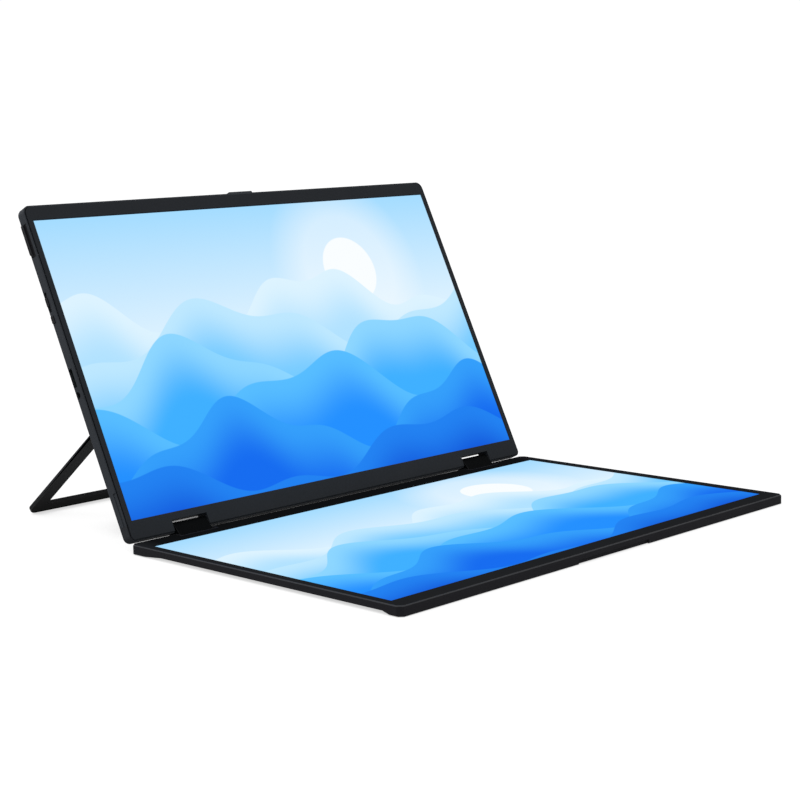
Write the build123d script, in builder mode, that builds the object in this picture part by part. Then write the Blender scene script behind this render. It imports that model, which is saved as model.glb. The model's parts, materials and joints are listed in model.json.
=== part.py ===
"""Dual-screen portable monitor, open on its stand.

Two displays are joined along one long edge by two double-axis hinges. The lower display lies on the table and
the upper one leans back on a folding stand. Millimetres, +Z up, X along the hinge edge, the user sits at -Y.
The origin lies on the table under the middle of the rear foot strip.
"""
import os
from math import asin, atan2, cos, hypot, radians, sin, sqrt

from build123d import *

os.makedirs("parts", exist_ok=True)

# Picture areas and the panel modules behind them, the same in both displays
picture_width = 344.16
picture_height = 193.59
cell_side_margin = 3.25
cell_hinge_margin = 2.4
cell_far_margin = 7.0
cell_thickness = 1.2
backlight_thickness = 1.4
backlight_inset = 0.4
bezel_thickness = 0.8
window_bevel = 0.5
cut_overrun = 1.0

# Lower display
lower_side_margin = 6.42
lower_front_margin = 12.58
lower_thickness = 4.4
lower_wall = 0.8
lower_floor = 1.0
lower_rear_margin = 13.13
lower_corner_cut = 2.8
lower_top_chamfer = 0.5
lower_bottom_chamfer = 0.6
lower_bezel_clearance = 0.1
ridge_drop = 1.4
rear_ridge_length = 12.5
rear_slope_length = 15.0
front_ridge_length = 8.5
front_slope_length = 5.0
front_cavity_inset = 3.0
finger_notch_width = 66.0
finger_notch_depth = 1.2
finger_notch_height = 2.4

# Rubber foot strips of the lower display
foot_stand_off = 0.4
foot_set_in = 0.4
foot_end_inset = 5.0
rear_foot_width = 4.4
rear_foot_inset = 9.7
front_foot_width = 3.6
front_foot_inset = 5.0
foot_fit = 0.05

# Double-axis hinge
opening_angle = 115.645
closed_gap = 0.8
hinge_side_inset = 46.7
notch_width = 27.4
knuckle_side_gap = 0.9
lower_axis_inset = 2.08
lower_axis_depth = 3.1
upper_axis_height = 3.505
upper_axis_depth = 4.5
lower_knuckle_radius = 2.8
upper_knuckle_radius = 4.3
hinge_room = 0.4
hinge_pin_radius = 0.9
hinge_pin_end = 3.4
pin_running_fit = 0.05
pin_seat_fit = 0.02
pin_wall_clearance = 0.3
sleeve_wall = 0.6
sleeve_end_inset = 3.0
sleeve_slit = 0.8
ear_thickness = 1.2
ear_gap = 0.1
ear_margin = 1.5
leaf_thickness = 1.0
leaf_arm = 5.5
leaf_rear_gap = 0.05
leaf_front_gap = 0.9
upper_leaf_end = 7.0
leaf_bottom_gap = 0.2

# Upper display, heights counted from the line where the two fronts meet
upper_side_margin = 4.92
upper_top_margin = 10.11
upper_bottom = 1.1
upper_thickness = 9.0
upper_rim_depth = 1.0
upper_wall = 0.9
upper_back_wall = 1.2
upper_deep_wall = 1.9
upper_corner_radius = 5.0
upper_hinge_radius = 4.0
upper_back_radius = 2.5
upper_bezel_inset = 1.2
upper_bezel_rise = 0.4
bezel_top_radius = 4.0
bezel_hinge_radius = 3.0
bezel_hinge_bevel = 0.6
bezel_notch_room = 1.095
cover_notch_step = 0.55
seam_notch_wall = 1.55
seam_gap = 0.1
picture_seam_gap = 2.6
support_plate_thickness = 0.8
support_plate_side = 12.0
support_plate_edge = 4.0
tab_width = 20.0
tab_height = 1.1
tab_slope = 0.8
tab_thickness = 4.0
side_recess_length = 20.9
side_recess_depth = 0.5
side_recess_back = 3.4

# Fasteners
cover_screw_radius = 0.8
cover_screw_head_radius = 1.5
cover_screw_head = 0.6
cover_screw_grip = 2.6
cover_boss_radius = 1.7
leaf_screw_radius = 0.7
leaf_screw_head_radius = 1.4
leaf_screw_head = 0.5
leaf_screw_grip = 0.6
screw_fit = 0.03
screw_clearance = 0.1
head_clearance = 0.15
cover_screw_hinge_gap = 60.3
cover_screw_side_inset = 11.0
lower_screw_inset = 4.2
upper_screw_height = 6.2
leaf_screw_reach = 3.3
lower_leaf_screw_inset = 7.6
upper_leaf_screw_rise = 4.9

# Lower driver board and its lead
driver_board_width = 220.0
driver_board_slope_gap = 0.6
driver_board_thickness = 0.8
driver_board_end_gap = 0.3
driver_plug_width = 6.0
driver_plug_depth = 3.0
lead_radius = 0.6
lead_bend = 1.5
lead_wall_gap = 0.5
lead_front_inset = 3.4
lead_rear_inset = 9.9
lead_end_gap = 0.3

# Boards in the upper display
board_thickness = 0.7
main_board_width = 120.0
main_board_height = 60.0
main_board_depth = 5.6
main_board_hole_inset = 4.0
board_boss_radius = 2.2
board_screw_grip = 0.9
plug_size = 8.0
plug_edge_gap = 1.0
chip_height = 0.9
chip_sizes = (14.0, 10.0, 8.0)
chip_x = (-10.0, 22.0, 40.0)
chip_rise = (34.0, 20.0, 42.0)
ribbon_width = 4.0
ribbon_thickness = 0.4
hinge_ribbon_offset = 23.8
hinge_ribbon_bottom = 3.0
ribbon_pitch = 8.0
hinge_plug_rise = 9.5
side_ribbon_room = 2.6
side_ribbon_inset = 13.8
edge_board_stand_gap = 0.3
edge_board_gap = 0.5
side_board_jack_gap = 0.25
side_board_over_rocker = 11.25
usb_board_below = 12.0
usb_board_above = 16.0

# Ports in the edges of the upper display
port_depth = 5.65
port_wall = 0.4
port_body_length = 7.5
port_opening_clearance = 0.35
hdmi_power_spacing = 38.0
hdmi_width = 11.2
hdmi_thickness = 2.9
hdmi_tongue_width = 8.2
hdmi_tongue_thickness = 0.6
usb_top_inset = 93.3
usb_pitch = 16.0
usb_width = 8.94
usb_thickness = 2.9
usb_tongue_width = 6.7
usb_tongue_thickness = 0.7
tongue_setback = 0.8
port_floor = 1.2
jack_hdmi_spacing = 11.0
jack_body_width = 6.0
jack_body_length = 9.2
jack_body_thickness = 4.2
jack_bore_radius = 1.76
jack_opening_radius = 2.1

# Power button, menu key and rocker in the left edge
key_depth = 5.65
power_jog_gap = 2.85
power_length = 4.4
power_width = 2.6
power_stand_out = 0.7
power_travel = 0.4
power_flange = 0.5
flange_thickness = 0.7
flange_gap = 0.1
key_clearance = 0.15
jog_rocker_spacing = 39.85
jog_slot_length = 12.6
jog_slot_width = 2.4
jog_carriage_length = 9.4
jog_carriage_sink = 0.6
jog_nub_length = 5.4
jog_stand_out = 0.8
jog_flange = 2.2
rocker_top_inset = 21.55
rocker_slot_length = 21.5
rocker_slot_front = 2.2
rocker_slot_back = 6.8
rocker_clearance = 0.3
rocker_sink = 0.15
rocker_plate = 0.65
rocker_ridge_front = 4.3
rocker_ridge_height = 1.45
rocker_ridge_slope = 2.0
rocker_stem_length = 4.4
rocker_stem_width = 1.8
rocker_stem_reach = 1.9
rocker_axle_setback = 1.75
rocker_axle_radius = 0.5
rocker_axle_front = 4.4
rocker_axle_set_in = 0.5
rocker_switch_reach = 7.6
rocker_switch_gap = 0.55
switch_length = 4.0
switch_depth = 2.8
switch_front = 4.6
switch_plunger = 1.2
rocker_switch_length = 3.0
jog_switch_length = 7.0

# Folding stand
stand_side_inset = 25.9
stand_top_margin = 4.1
stand_length = 127.4
stand_leg_width = 10.6
stand_bar_width = 9.9
stand_thickness = 2.6
stand_corner_radius = 7.0
stand_side_clearance = 0.3
stand_floor_gap = 0.2
stand_end_room = 3.0
stand_top_room = 0.5
stand_strip_thickness = 1.2
stand_pin_radius = 0.8
stand_pin_end_gap = 0.6
stand_block_width = 5.0
stand_block_length = 10.0
stand_block_sink = 0.1
stand_block_fit = 0.1
stand_recess_wall = 1.0
stand_screw_radius = 0.6
stand_screw_head_radius = 1.2
stand_screw_head = 0.5
stand_screw_grip = 0.9
stand_screw_offset = 3.0
stand_scoop_width = 30.0
stand_scoop_depth = 6.0

# Where the two displays, the hinge axes and the stand lie
standing_height = lower_thickness + ridge_drop + foot_stand_off
ridge_depth = lower_thickness + ridge_drop
lower_width = picture_width + 2 * lower_side_margin
lower_depth = lower_rear_margin + picture_height + lower_front_margin
upper_width = picture_width + 2 * upper_side_margin
rear_edge = rear_foot_inset
front_edge = rear_edge - lower_depth
lower_half = lower_width / 2
upper_half = upper_width / 2
hinge_spacing = upper_width - 2 * hinge_side_inset
knuckle_width = notch_width - 2 * knuckle_side_gap
hinge_centres = (("left", -hinge_spacing / 2), ("right", hinge_spacing / 2))

opening = radians(opening_angle)
link_length = upper_axis_depth + lower_axis_depth + closed_gap
lower_axis = (rear_edge - lower_axis_inset, standing_height - lower_axis_depth)
upper_axis = (lower_axis[0] + link_length * sin(opening / 2), lower_axis[1] + link_length * cos(opening / 2))
up_dir = (0, -cos(opening), sin(opening))
back_dir = (0, sin(opening), cos(opening))
screen_y = upper_axis[0] - upper_axis_height * up_dir[1] - upper_axis_depth * back_dir[1]
screen_z = upper_axis[1] - upper_axis_height * up_dir[2] - upper_axis_depth * back_dir[2]

lower_face = Plane.XY.offset(standing_height)
upper_face = Plane(origin=(0, screen_y, screen_z), x_dir=(1, 0, 0), z_dir=(0, -back_dir[1], -back_dir[2]))
up_axis = Axis((0, screen_y, screen_z), up_dir)
back_axis = Axis((0, screen_y, screen_z), back_dir)

# Heights up the upper display
bezel_notch_top = upper_axis_height + upper_knuckle_radius + bezel_notch_room
cover_notch_top = bezel_notch_top + cover_notch_step
seam_height = cover_notch_top + seam_notch_wall
rear_cover_bottom = seam_height + seam_gap
picture_bottom = seam_height + picture_seam_gap
picture_top = picture_bottom + picture_height
upper_top = picture_top + upper_top_margin
upper_bezel_bottom = upper_bottom + upper_bezel_rise
upper_leaf_screw_height = rear_cover_bottom + upper_leaf_screw_rise
upper_leaf_height = upper_leaf_screw_height + upper_leaf_end
rocker_height = upper_top - rocker_top_inset
jog_height = rocker_height - jog_rocker_spacing
power_height = jog_height - jog_slot_length / 2 - power_jog_gap - power_length / 2
hdmi_height = power_height - hdmi_power_spacing
jack_height = hdmi_height - jack_hdmi_spacing
usb_heights = (upper_top - usb_top_inset - usb_pitch, upper_top - usb_top_inset)
side_board_top = rocker_height + side_board_over_rocker
side_board_bottom = jack_height + jack_body_width / 2 + side_board_jack_gap
usb_board_bottom = usb_heights[0] - usb_board_below
usb_board_top = usb_heights[1] + usb_board_above
stand_pivot_height = upper_top - stand_top_margin - stand_length
stand_block_bottom = stand_pivot_height - stand_block_length / 2 - stand_block_fit - stand_recess_wall
lowest_edge_piece = min(stand_block_bottom, side_board_bottom, usb_board_bottom)
side_ribbon_turn = lowest_edge_piece - side_ribbon_room - ribbon_width / 2
hinge_ribbon_turn = side_ribbon_turn - ribbon_pitch
main_board_bottom = hinge_ribbon_turn - hinge_plug_rise

# The stand folds up into the back, and opens until its foot meets the table
stand_outer_width = upper_width - 2 * stand_side_inset
stand_pivot_depth = upper_thickness - stand_thickness / 2
stand_pivot = (
    screen_y + stand_pivot_height * up_dir[1] + stand_pivot_depth * back_dir[1],
    screen_z + stand_pivot_height * up_dir[2] + stand_pivot_depth * back_dir[2],
)
foot_offset = atan2(stand_thickness / 2, stand_length)
slope = asin(stand_pivot[1] / hypot(stand_thickness / 2, stand_length)) - foot_offset
stand_normal = (0, sin(slope), cos(slope))
stand_face = Plane(origin=(0, stand_pivot[0], stand_pivot[1]), x_dir=(1, 0, 0), z_dir=stand_normal)

# Depths behind the two fronts
lower_light_depth = bezel_thickness + cell_thickness
lower_floor_depth = lower_light_depth + backlight_thickness
lower_deep_floor = ridge_depth - lower_floor
below_lower = ridge_depth + cut_overrun
behind_upper = upper_thickness + cut_overrun
upper_light_depth = bezel_thickness + cell_thickness
upper_plate_depth = upper_light_depth + backlight_thickness
upper_land_depth = upper_plate_depth + support_plate_thickness
upper_floor_depth = upper_thickness - upper_back_wall
stand_floor_depth = stand_pivot_depth - stand_thickness / 2 - stand_floor_gap
edge_inner = upper_half - upper_deep_wall
board_depth = upper_floor_depth - board_thickness

# The closed knuckle stands widest in the lower notch at the top face
knuckle_taper = (upper_knuckle_radius - lower_knuckle_radius) / link_length
knuckle_half = (lower_knuckle_radius + knuckle_taper * lower_axis_depth) / sqrt(1 - knuckle_taper**2)
lower_notch_depth = lower_axis_inset + knuckle_half + hinge_room
notch_half = notch_width / 2


def at_depth(face, depth):
    """Plane behind a display's front face."""
    return face.offset(-depth)


def edge_plane(x):
    """Plane across a display edge at x: local x runs up the display, local y to its back, normal to -X."""
    return Plane(origin=(x, screen_y, screen_z), x_dir=up_dir, z_dir=(-1, 0, 0))


def block(face, x_span, y_span, near, far, mode=Mode.ADD):
    """Box on a display face between two depths."""
    with BuildSketch(at_depth(face, near)) as outline:
        with Locations(((x_span[0] + x_span[1]) / 2, (y_span[0] + y_span[1]) / 2)):
            Rectangle(x_span[1] - x_span[0], y_span[1] - y_span[0])
    extrude(outline.sketch, amount=near - far, mode=mode)


def post(face, position, radius, near, far, mode=Mode.ADD):
    """Cylinder square to a display face between two depths."""
    with BuildSketch(at_depth(face, near)) as outline:
        with Locations(position):
            Circle(radius)
    extrude(outline.sketch, amount=near - far, mode=mode)


def rod(axis, x_span, radius, mode=Mode.ADD):
    """Cylinder along X around an axis given by its Y and Z."""
    with BuildSketch(Plane.YZ.offset(x_span[0])) as outline:
        with Locations(axis):
            Circle(radius)
    extrude(outline.sketch, amount=x_span[1] - x_span[0], mode=mode)


def edge_block(x_span, rise, length, depth, width, mode=Mode.ADD):
    """Box in the edge of the upper display, centred on a height and a depth."""
    with BuildSketch(edge_plane(x_span[0])) as outline:
        with Locations((rise, depth)):
            Rectangle(length, width)
    extrude(outline.sketch, amount=x_span[0] - x_span[1], mode=mode)


def save(piece, label):
    """Name a finished piece and write it to its own file."""
    piece.part.label = label
    export_step(piece.part, f"parts/{label}.step")


def around(middle, half):
    """Span of a given half width around a middle."""
    return (middle - half, middle + half)


cover_screw_inner = hinge_spacing / 2 - cover_screw_hinge_gap
cover_screw_outer = upper_half - cover_screw_side_inset
cover_screw_places = (-cover_screw_outer, -cover_screw_inner, 0, cover_screw_inner, cover_screw_outer)
lower_screw_y = rear_edge - lower_screw_inset
lower_leaf_screw_y = rear_edge - lower_leaf_screw_inset
leaf_screw_x = notch_half + lower_wall + leaf_screw_reach

# Lower rear cover: tray with side walls, a ridge along the front and one along the rear edge
with BuildPart() as lower_rear_cover:
    with BuildSketch(Plane.YZ.offset(-lower_half)) as side_profile:
        with BuildLine():
            Polyline(
                (rear_edge, standing_height),
                (rear_edge, standing_height - ridge_depth),
                (rear_edge - rear_ridge_length, standing_height - ridge_depth),
                (rear_edge - rear_ridge_length - rear_slope_length, standing_height - lower_thickness),
                (front_edge + front_ridge_length + front_slope_length, standing_height - lower_thickness),
                (front_edge + front_ridge_length, standing_height - ridge_depth),
                (front_edge, standing_height - ridge_depth),
                (front_edge, standing_height),
                close=True,
            )
        make_face()
    extrude(amount=lower_width)
    chamfer(lower_rear_cover.edges().filter_by(Axis.Z), length=lower_corner_cut)
    chamfer(lower_rear_cover.faces().sort_by(Axis.Z)[-1].edges(), length=lower_top_chamfer)
    long_sides = lower_rear_cover.faces().filter_by(Axis.X)
    under_edges = (long_sides.edges() - lower_rear_cover.edges().filter_by(Axis.Z)).sort_by(Axis.Z)[:-2]
    chamfer(under_edges, length=lower_bottom_chamfer)
    with BuildSketch(lower_face) as cavity:
        with Locations((0, (rear_edge + front_edge) / 2)):
            Rectangle(lower_width - 2 * lower_wall, lower_depth - 2 * lower_wall)
        chamfer(cavity.vertices(), length=lower_corner_cut)
        for side, centre in hinge_centres:
            with Locations((centre, rear_edge - (lower_notch_depth + lower_wall) / 2)):
                Rectangle(notch_width + 2 * lower_wall, lower_notch_depth + lower_wall, mode=Mode.SUBTRACT)
    extrude(amount=-lower_floor_depth, mode=Mode.SUBTRACT)
    with BuildSketch(at_depth(lower_face, lower_floor_depth)) as deep_cavities:
        with Locations((0, rear_edge - (rear_ridge_length + lower_wall) / 2)):
            Rectangle(lower_width - 2 * lower_wall - 2 * lower_corner_cut, rear_ridge_length - lower_wall)
        with Locations((0, front_edge + (front_ridge_length + front_cavity_inset) / 2)):
            Rectangle(
                lower_width - 2 * lower_wall - 2 * lower_corner_cut, front_ridge_length - front_cavity_inset
            )
        for side, centre in hinge_centres:
            with Locations((centre, rear_edge - (lower_notch_depth + lower_wall) / 2)):
                Rectangle(notch_width + 2 * lower_wall, lower_notch_depth + lower_wall, mode=Mode.SUBTRACT)
    extrude(amount=lower_floor_depth - lower_deep_floor, mode=Mode.SUBTRACT)
    for side, centre in hinge_centres:
        notch_span = around(centre, notch_half)
        notch_depth_span = (rear_edge - lower_notch_depth, rear_edge + cut_overrun)
        block(lower_face, notch_span, notch_depth_span, -cut_overrun, below_lower, Mode.SUBTRACT)
        pin_hole_span = around(centre, notch_half + lower_wall + cut_overrun)
        rod(lower_axis, pin_hole_span, hinge_pin_radius + pin_wall_clearance, Mode.SUBTRACT)
        for x in around(centre, leaf_screw_x):
            place = (x, lower_leaf_screw_y)
            hole_end = lower_deep_floor + leaf_screw_grip
            post(lower_face, place, leaf_screw_radius + screw_fit, lower_deep_floor, hole_end, Mode.SUBTRACT)
    for x in cover_screw_places:
        place = (x, lower_screw_y)
        shank_hole = cover_screw_radius + screw_clearance
        head_hole = cover_screw_head_radius + head_clearance
        post(lower_face, place, shank_hole, lower_deep_floor, below_lower, Mode.SUBTRACT)
        post(lower_face, place, head_hole, ridge_depth - cover_screw_head, below_lower, Mode.SUBTRACT)
    foot_span = around(0, lower_half - foot_end_inset + foot_fit)
    front_foot_y = front_edge + front_foot_inset
    for middle, width in ((0, rear_foot_width), (front_foot_y, front_foot_width)):
        groove = around(middle, width / 2 + foot_fit)
        block(lower_face, foot_span, groove, ridge_depth - foot_set_in, below_lower, Mode.SUBTRACT)
    finger_span = around(0, finger_notch_width / 2)
    finger_reach = (front_edge - cut_overrun, front_edge + finger_notch_depth)
    finger_top = ridge_depth - finger_notch_height
    block(lower_face, finger_span, finger_reach, finger_top, below_lower, Mode.SUBTRACT)
save(lower_rear_cover, "lower_rear_cover")

# Lower bezel: black frame plate let into the tray, with bosses for the cover screws
picture_rear = rear_edge - lower_rear_margin
picture_front = picture_rear - picture_height
lower_bezel_inset = lower_wall + lower_bezel_clearance
with BuildPart() as lower_bezel:
    with BuildSketch(lower_face) as plate:
        with Locations((0, (rear_edge + front_edge) / 2)):
            Rectangle(lower_width - 2 * lower_bezel_inset, lower_depth - 2 * lower_bezel_inset)
        chamfer(plate.vertices(), length=lower_corner_cut)
        with Locations((0, (picture_rear + picture_front) / 2)):
            Rectangle(picture_width, picture_height, mode=Mode.SUBTRACT)
        for side, centre in hinge_centres:
            with Locations((centre, rear_edge - (lower_notch_depth + lower_bezel_inset) / 2)):
                notch_size = (notch_width + 2 * lower_bezel_inset, lower_notch_depth + lower_bezel_inset)
                Rectangle(*notch_size, mode=Mode.SUBTRACT)
    extrude(amount=-bezel_thickness)
    chamfer(lower_bezel.faces().sort_by(Axis.Z)[-1].inner_wires().edges(), length=window_bevel)
    for x in cover_screw_places:
        place = (x, lower_screw_y)
        pilot_end = lower_deep_floor - cover_screw_grip
        post(lower_face, place, cover_boss_radius, bezel_thickness, lower_deep_floor)
        post(lower_face, place, cover_screw_radius + screw_fit, pilot_end, lower_deep_floor, Mode.SUBTRACT)
save(lower_bezel, "lower_bezel")


def panel_outline(hinge_side, far_side, inset):
    """Outline of a panel module between its hinge-side and far edges."""
    with Locations((0, (hinge_side + far_side) / 2)):
        Rectangle(picture_width + 2 * cell_side_margin - 2 * inset, abs(far_side - hinge_side) - 2 * inset)


# Panel modules: a glass cell with a light guide and reflector behind it
lower_panel = (picture_rear + cell_hinge_margin, picture_front - cell_far_margin)
upper_panel = (picture_bottom - cell_hinge_margin, picture_top + cell_far_margin)
for display, face, panel in (("lower", lower_face, lower_panel), ("upper", upper_face, upper_panel)):
    with BuildPart() as lcd_cell:
        with BuildSketch(at_depth(face, bezel_thickness)):
            panel_outline(panel[0], panel[1], 0)
        extrude(amount=-cell_thickness)
    save(lcd_cell, f"{display}_lcd_cell")
    with BuildPart() as backlight_unit:
        with BuildSketch(at_depth(face, bezel_thickness + cell_thickness)):
            panel_outline(panel[0], panel[1], backlight_inset)
        extrude(amount=-backlight_thickness)
    save(backlight_unit, f"{display}_backlight_unit")

# Lower driver board in the front ridge, with a plug block for its lead
driver_front = front_edge + front_cavity_inset + driver_board_end_gap
driver_board_depth = front_edge + front_ridge_length - driver_board_slope_gap - driver_front
driver_middle = driver_front + driver_board_depth / 2
driver_top = lower_deep_floor - driver_board_thickness
with BuildPart() as lower_driver_board:
    driver_span = around(0, driver_board_width / 2)
    driver_reach = around(driver_middle, driver_board_depth / 2)
    block(lower_face, driver_span, driver_reach, driver_top, lower_deep_floor)
    plug_span = (driver_span[0], driver_span[0] + driver_plug_width)
    plug_reach = (driver_front, driver_front + driver_plug_depth)
    block(lower_face, plug_span, plug_reach, lower_floor_depth, driver_top)
save(lower_driver_board, "lower_driver_board")

# Lead of the lower display: along the left side channel to the left hinge
lead_z = standing_height - lower_floor_depth + lead_radius
lead_x = -lower_half + lower_wall + lead_wall_gap + lead_radius
lead_front = front_edge + lead_front_inset
lead_rear = rear_edge - lead_rear_inset
lead_end = hinge_centres[0][1] - notch_half - lower_wall - ear_gap - ear_thickness - lead_end_gap
with BuildPart() as lower_link_cable:
    with BuildLine() as lead_path:
        FilletPolyline(
            (driver_span[0] + driver_plug_width / 2, lead_front, lead_z),
            (lead_x, lead_front, lead_z),
            (lead_x, lead_rear, lead_z),
            (lead_end, lead_rear, lead_z),
            radius=lead_bend,
        )
    with BuildSketch(Plane(origin=lead_path.line @ 0, z_dir=lead_path.line % 0)):
        Circle(lead_radius)
    sweep()
save(lower_link_cable, "lower_link_cable")

# Rubber foot strips let into the two ridges
for label, middle, width in (
    ("lower_rear_foot", 0, rear_foot_width),
    ("lower_front_foot", front_foot_y, front_foot_width),
):
    with BuildPart() as foot_strip:
        strip_span = around(0, lower_half - foot_end_inset)
        block(lower_face, strip_span, around(middle, width / 2), ridge_depth - foot_set_in, standing_height)
    save(foot_strip, label)

# Hinge knuckles, their split friction sleeves, and the pins of both axes
sleeve_radius = hinge_pin_radius + pin_running_fit + sleeve_wall
knuckle_half_width = knuckle_width / 2
pin_half_length = notch_half + lower_wall + ear_gap + ear_thickness + hinge_pin_end
for side, centre in hinge_centres:
    knuckle_span = around(centre, knuckle_half_width)
    sleeve_span = around(centre, knuckle_half_width - sleeve_end_inset)
    with BuildPart() as hinge_knuckle:
        with BuildSketch(Plane.YZ.offset(knuckle_span[0])) as knuckle_profile:
            with Locations(lower_axis):
                Circle(lower_knuckle_radius)
            with Locations(upper_axis):
                Circle(upper_knuckle_radius)
            make_hull()
        extrude(amount=knuckle_width)
        for axis in (lower_axis, upper_axis):
            bore_span = around(centre, knuckle_half_width + cut_overrun)
            rod(axis, bore_span, hinge_pin_radius + pin_running_fit, Mode.SUBTRACT)
            rod(axis, sleeve_span, sleeve_radius + pin_seat_fit, Mode.SUBTRACT)
    save(hinge_knuckle, f"hinge_knuckle_{side}")
    with BuildPart() as friction_sleeves:
        for axis in (lower_axis, upper_axis):
            rod(axis, sleeve_span, sleeve_radius)
            rod(axis, sleeve_span, hinge_pin_radius + pin_running_fit, Mode.SUBTRACT)
            with BuildSketch(Plane.YZ.offset(sleeve_span[0])) as slit:
                with Locations((axis[0] + sleeve_radius / 2, axis[1])):
                    Rectangle(sleeve_radius, sleeve_slit)
            extrude(slit.sketch, amount=sleeve_span[1] - sleeve_span[0], mode=Mode.SUBTRACT)
    save(friction_sleeves, f"hinge_friction_sleeves_{side}")
    for label, axis in (("lower_hinge_pin", lower_axis), ("upper_hinge_pin", upper_axis)):
        with BuildPart() as hinge_pin:
            rod(axis, around(centre, pin_half_length), hinge_pin_radius)
        save(hinge_pin, f"{label}_{side}")

# Hinge brackets: steel leaves on the display floors, with two ears that hold each pin
ear_inner = notch_half + lower_wall + ear_gap
leaf_half = ear_inner + leaf_arm
for side, centre in hinge_centres:
    ear_spans = [around(x, ear_thickness / 2) for x in around(centre, ear_inner + ear_thickness / 2)]
    with BuildPart() as lower_bracket:
        leaf_rear = rear_edge - lower_wall - leaf_rear_gap
        leaf_front = rear_edge - rear_ridge_length + leaf_front_gap
        notch_front = rear_edge - lower_notch_depth - lower_wall - ear_gap
        leaf_top = lower_deep_floor - leaf_thickness
        block(lower_face, around(centre, leaf_half), (leaf_front, leaf_rear), leaf_top, lower_deep_floor)
        leaf_gap = (notch_front, leaf_rear)
        block(lower_face, around(centre, ear_inner), leaf_gap, leaf_top, lower_deep_floor, Mode.SUBTRACT)
        for ear_span in ear_spans:
            ear_foot = (lower_axis[0] - hinge_pin_radius - ear_margin, leaf_rear)
            ear_top = lower_axis_depth - hinge_pin_radius - ear_margin / 2
            block(lower_face, ear_span, ear_foot, ear_top, lower_deep_floor)
        rod(lower_axis, around(centre, leaf_half), hinge_pin_radius + pin_seat_fit, Mode.SUBTRACT)
        for x in around(centre, leaf_screw_x):
            place = (x, lower_leaf_screw_y)
            hole = leaf_screw_radius + screw_clearance
            post(lower_face, place, hole, leaf_top, lower_deep_floor, Mode.SUBTRACT)
    save(lower_bracket, f"lower_hinge_bracket_{side}")
    with BuildPart() as upper_bracket:
        leaf_bottom = upper_bottom + upper_wall + leaf_bottom_gap
        leaf_front_depth = upper_floor_depth - leaf_thickness
        leaf_rise = (leaf_bottom, upper_leaf_height)
        leaf_gap = (leaf_bottom, rear_cover_bottom + ear_gap)
        gap_span = around(centre, ear_inner)
        block(upper_face, around(centre, leaf_half), leaf_rise, leaf_front_depth, upper_floor_depth)
        block(upper_face, gap_span, leaf_gap, leaf_front_depth, upper_floor_depth, Mode.SUBTRACT)
        for ear_span in ear_spans:
            ear_rise = (leaf_bottom, upper_axis_height + hinge_pin_radius + ear_margin)
            ear_front = upper_axis_depth - hinge_pin_radius - ear_margin
            block(upper_face, ear_span, ear_rise, ear_front, upper_floor_depth)
        rod(upper_axis, around(centre, leaf_half), hinge_pin_radius + pin_seat_fit, Mode.SUBTRACT)
        for x in around(centre, leaf_screw_x):
            place = (x, upper_leaf_screw_height)
            hole = leaf_screw_radius + screw_clearance
            post(upper_face, place, hole, leaf_front_depth, upper_floor_depth, Mode.SUBTRACT)
    save(upper_bracket, f"upper_hinge_bracket_{side}")


def leaf_screws(face, places, leaf_front):
    """Pan-head screws that hold a hinge leaf to a display floor."""
    for place in places:
        post(face, place, leaf_screw_head_radius, leaf_front - leaf_screw_head, leaf_front)
        post(face, place, leaf_screw_radius, leaf_front, leaf_front + leaf_thickness + leaf_screw_grip)


leaf_screw_columns = [x for side, centre in hinge_centres for x in around(centre, leaf_screw_x)]
with BuildPart() as lower_bracket_screws:
    leaf_screws(lower_face, [(x, lower_leaf_screw_y) for x in leaf_screw_columns], leaf_top)
save(lower_bracket_screws, "lower_bracket_screws")
with BuildPart() as upper_bracket_screws:
    leaf_screws(upper_face, [(x, upper_leaf_screw_height) for x in leaf_screw_columns], leaf_front_depth)
save(upper_bracket_screws, "upper_bracket_screws")


def cover_screws(face, rise, floor, back):
    """Flat-head screws put in from the back of a cover, one in each bezel boss."""
    for x in cover_screw_places:
        post(face, (x, rise), cover_screw_head_radius, back - cover_screw_head, back)
        post(face, (x, rise), cover_screw_radius, floor - cover_screw_grip, back - cover_screw_head)


with BuildPart() as lower_cover_screws:
    cover_screws(lower_face, lower_screw_y, lower_deep_floor, ridge_depth)
save(lower_cover_screws, "lower_cover_screws")
with BuildPart() as hinge_cover_screws:
    cover_screws(upper_face, upper_screw_height, upper_floor_depth, upper_thickness)
save(hinge_cover_screws, "hinge_cover_screws")

# Stand recess: a flat U in the back of the upper display, widened at the two pivots and for a fingertip
stand_half = stand_outer_width / 2
stand_inner_half = stand_half - stand_leg_width
recess_top = stand_pivot_height + stand_length + stand_top_room
recess_bottom = stand_pivot_height - stand_end_room
bar_bottom = stand_pivot_height + stand_length - stand_bar_width - stand_side_clearance
block_outer = stand_half + stand_side_clearance + stand_block_width + stand_block_fit
block_inner = stand_inner_half - stand_side_clearance - stand_block_width - stand_block_fit
block_room = (block_outer - block_inner, stand_block_length + 2 * stand_block_fit)


def recess_outline(grow, mode):
    """Plan of the stand recess, grown all round by a wall."""
    side_room = 2 * stand_side_clearance + 2 * grow
    for sign in (-1, 1):
        leg_middle = sign * (stand_half + stand_inner_half) / 2
        with Locations((leg_middle, (recess_top + recess_bottom) / 2)):
            Rectangle(stand_leg_width + side_room, recess_top - recess_bottom + 2 * grow, mode=mode)
        with Locations((sign * (block_outer + block_inner) / 2, stand_pivot_height)):
            Rectangle(block_room[0] + 2 * grow, block_room[1] + 2 * grow, mode=mode)
    with Locations((0, (recess_top + bar_bottom) / 2)):
        Rectangle(stand_outer_width + side_room, recess_top - bar_bottom + 2 * grow, mode=mode)
    with Locations((0, bar_bottom - stand_scoop_depth / 2)):
        Rectangle(stand_scoop_width + 2 * grow, stand_scoop_depth + 2 * grow, mode=mode)


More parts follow.
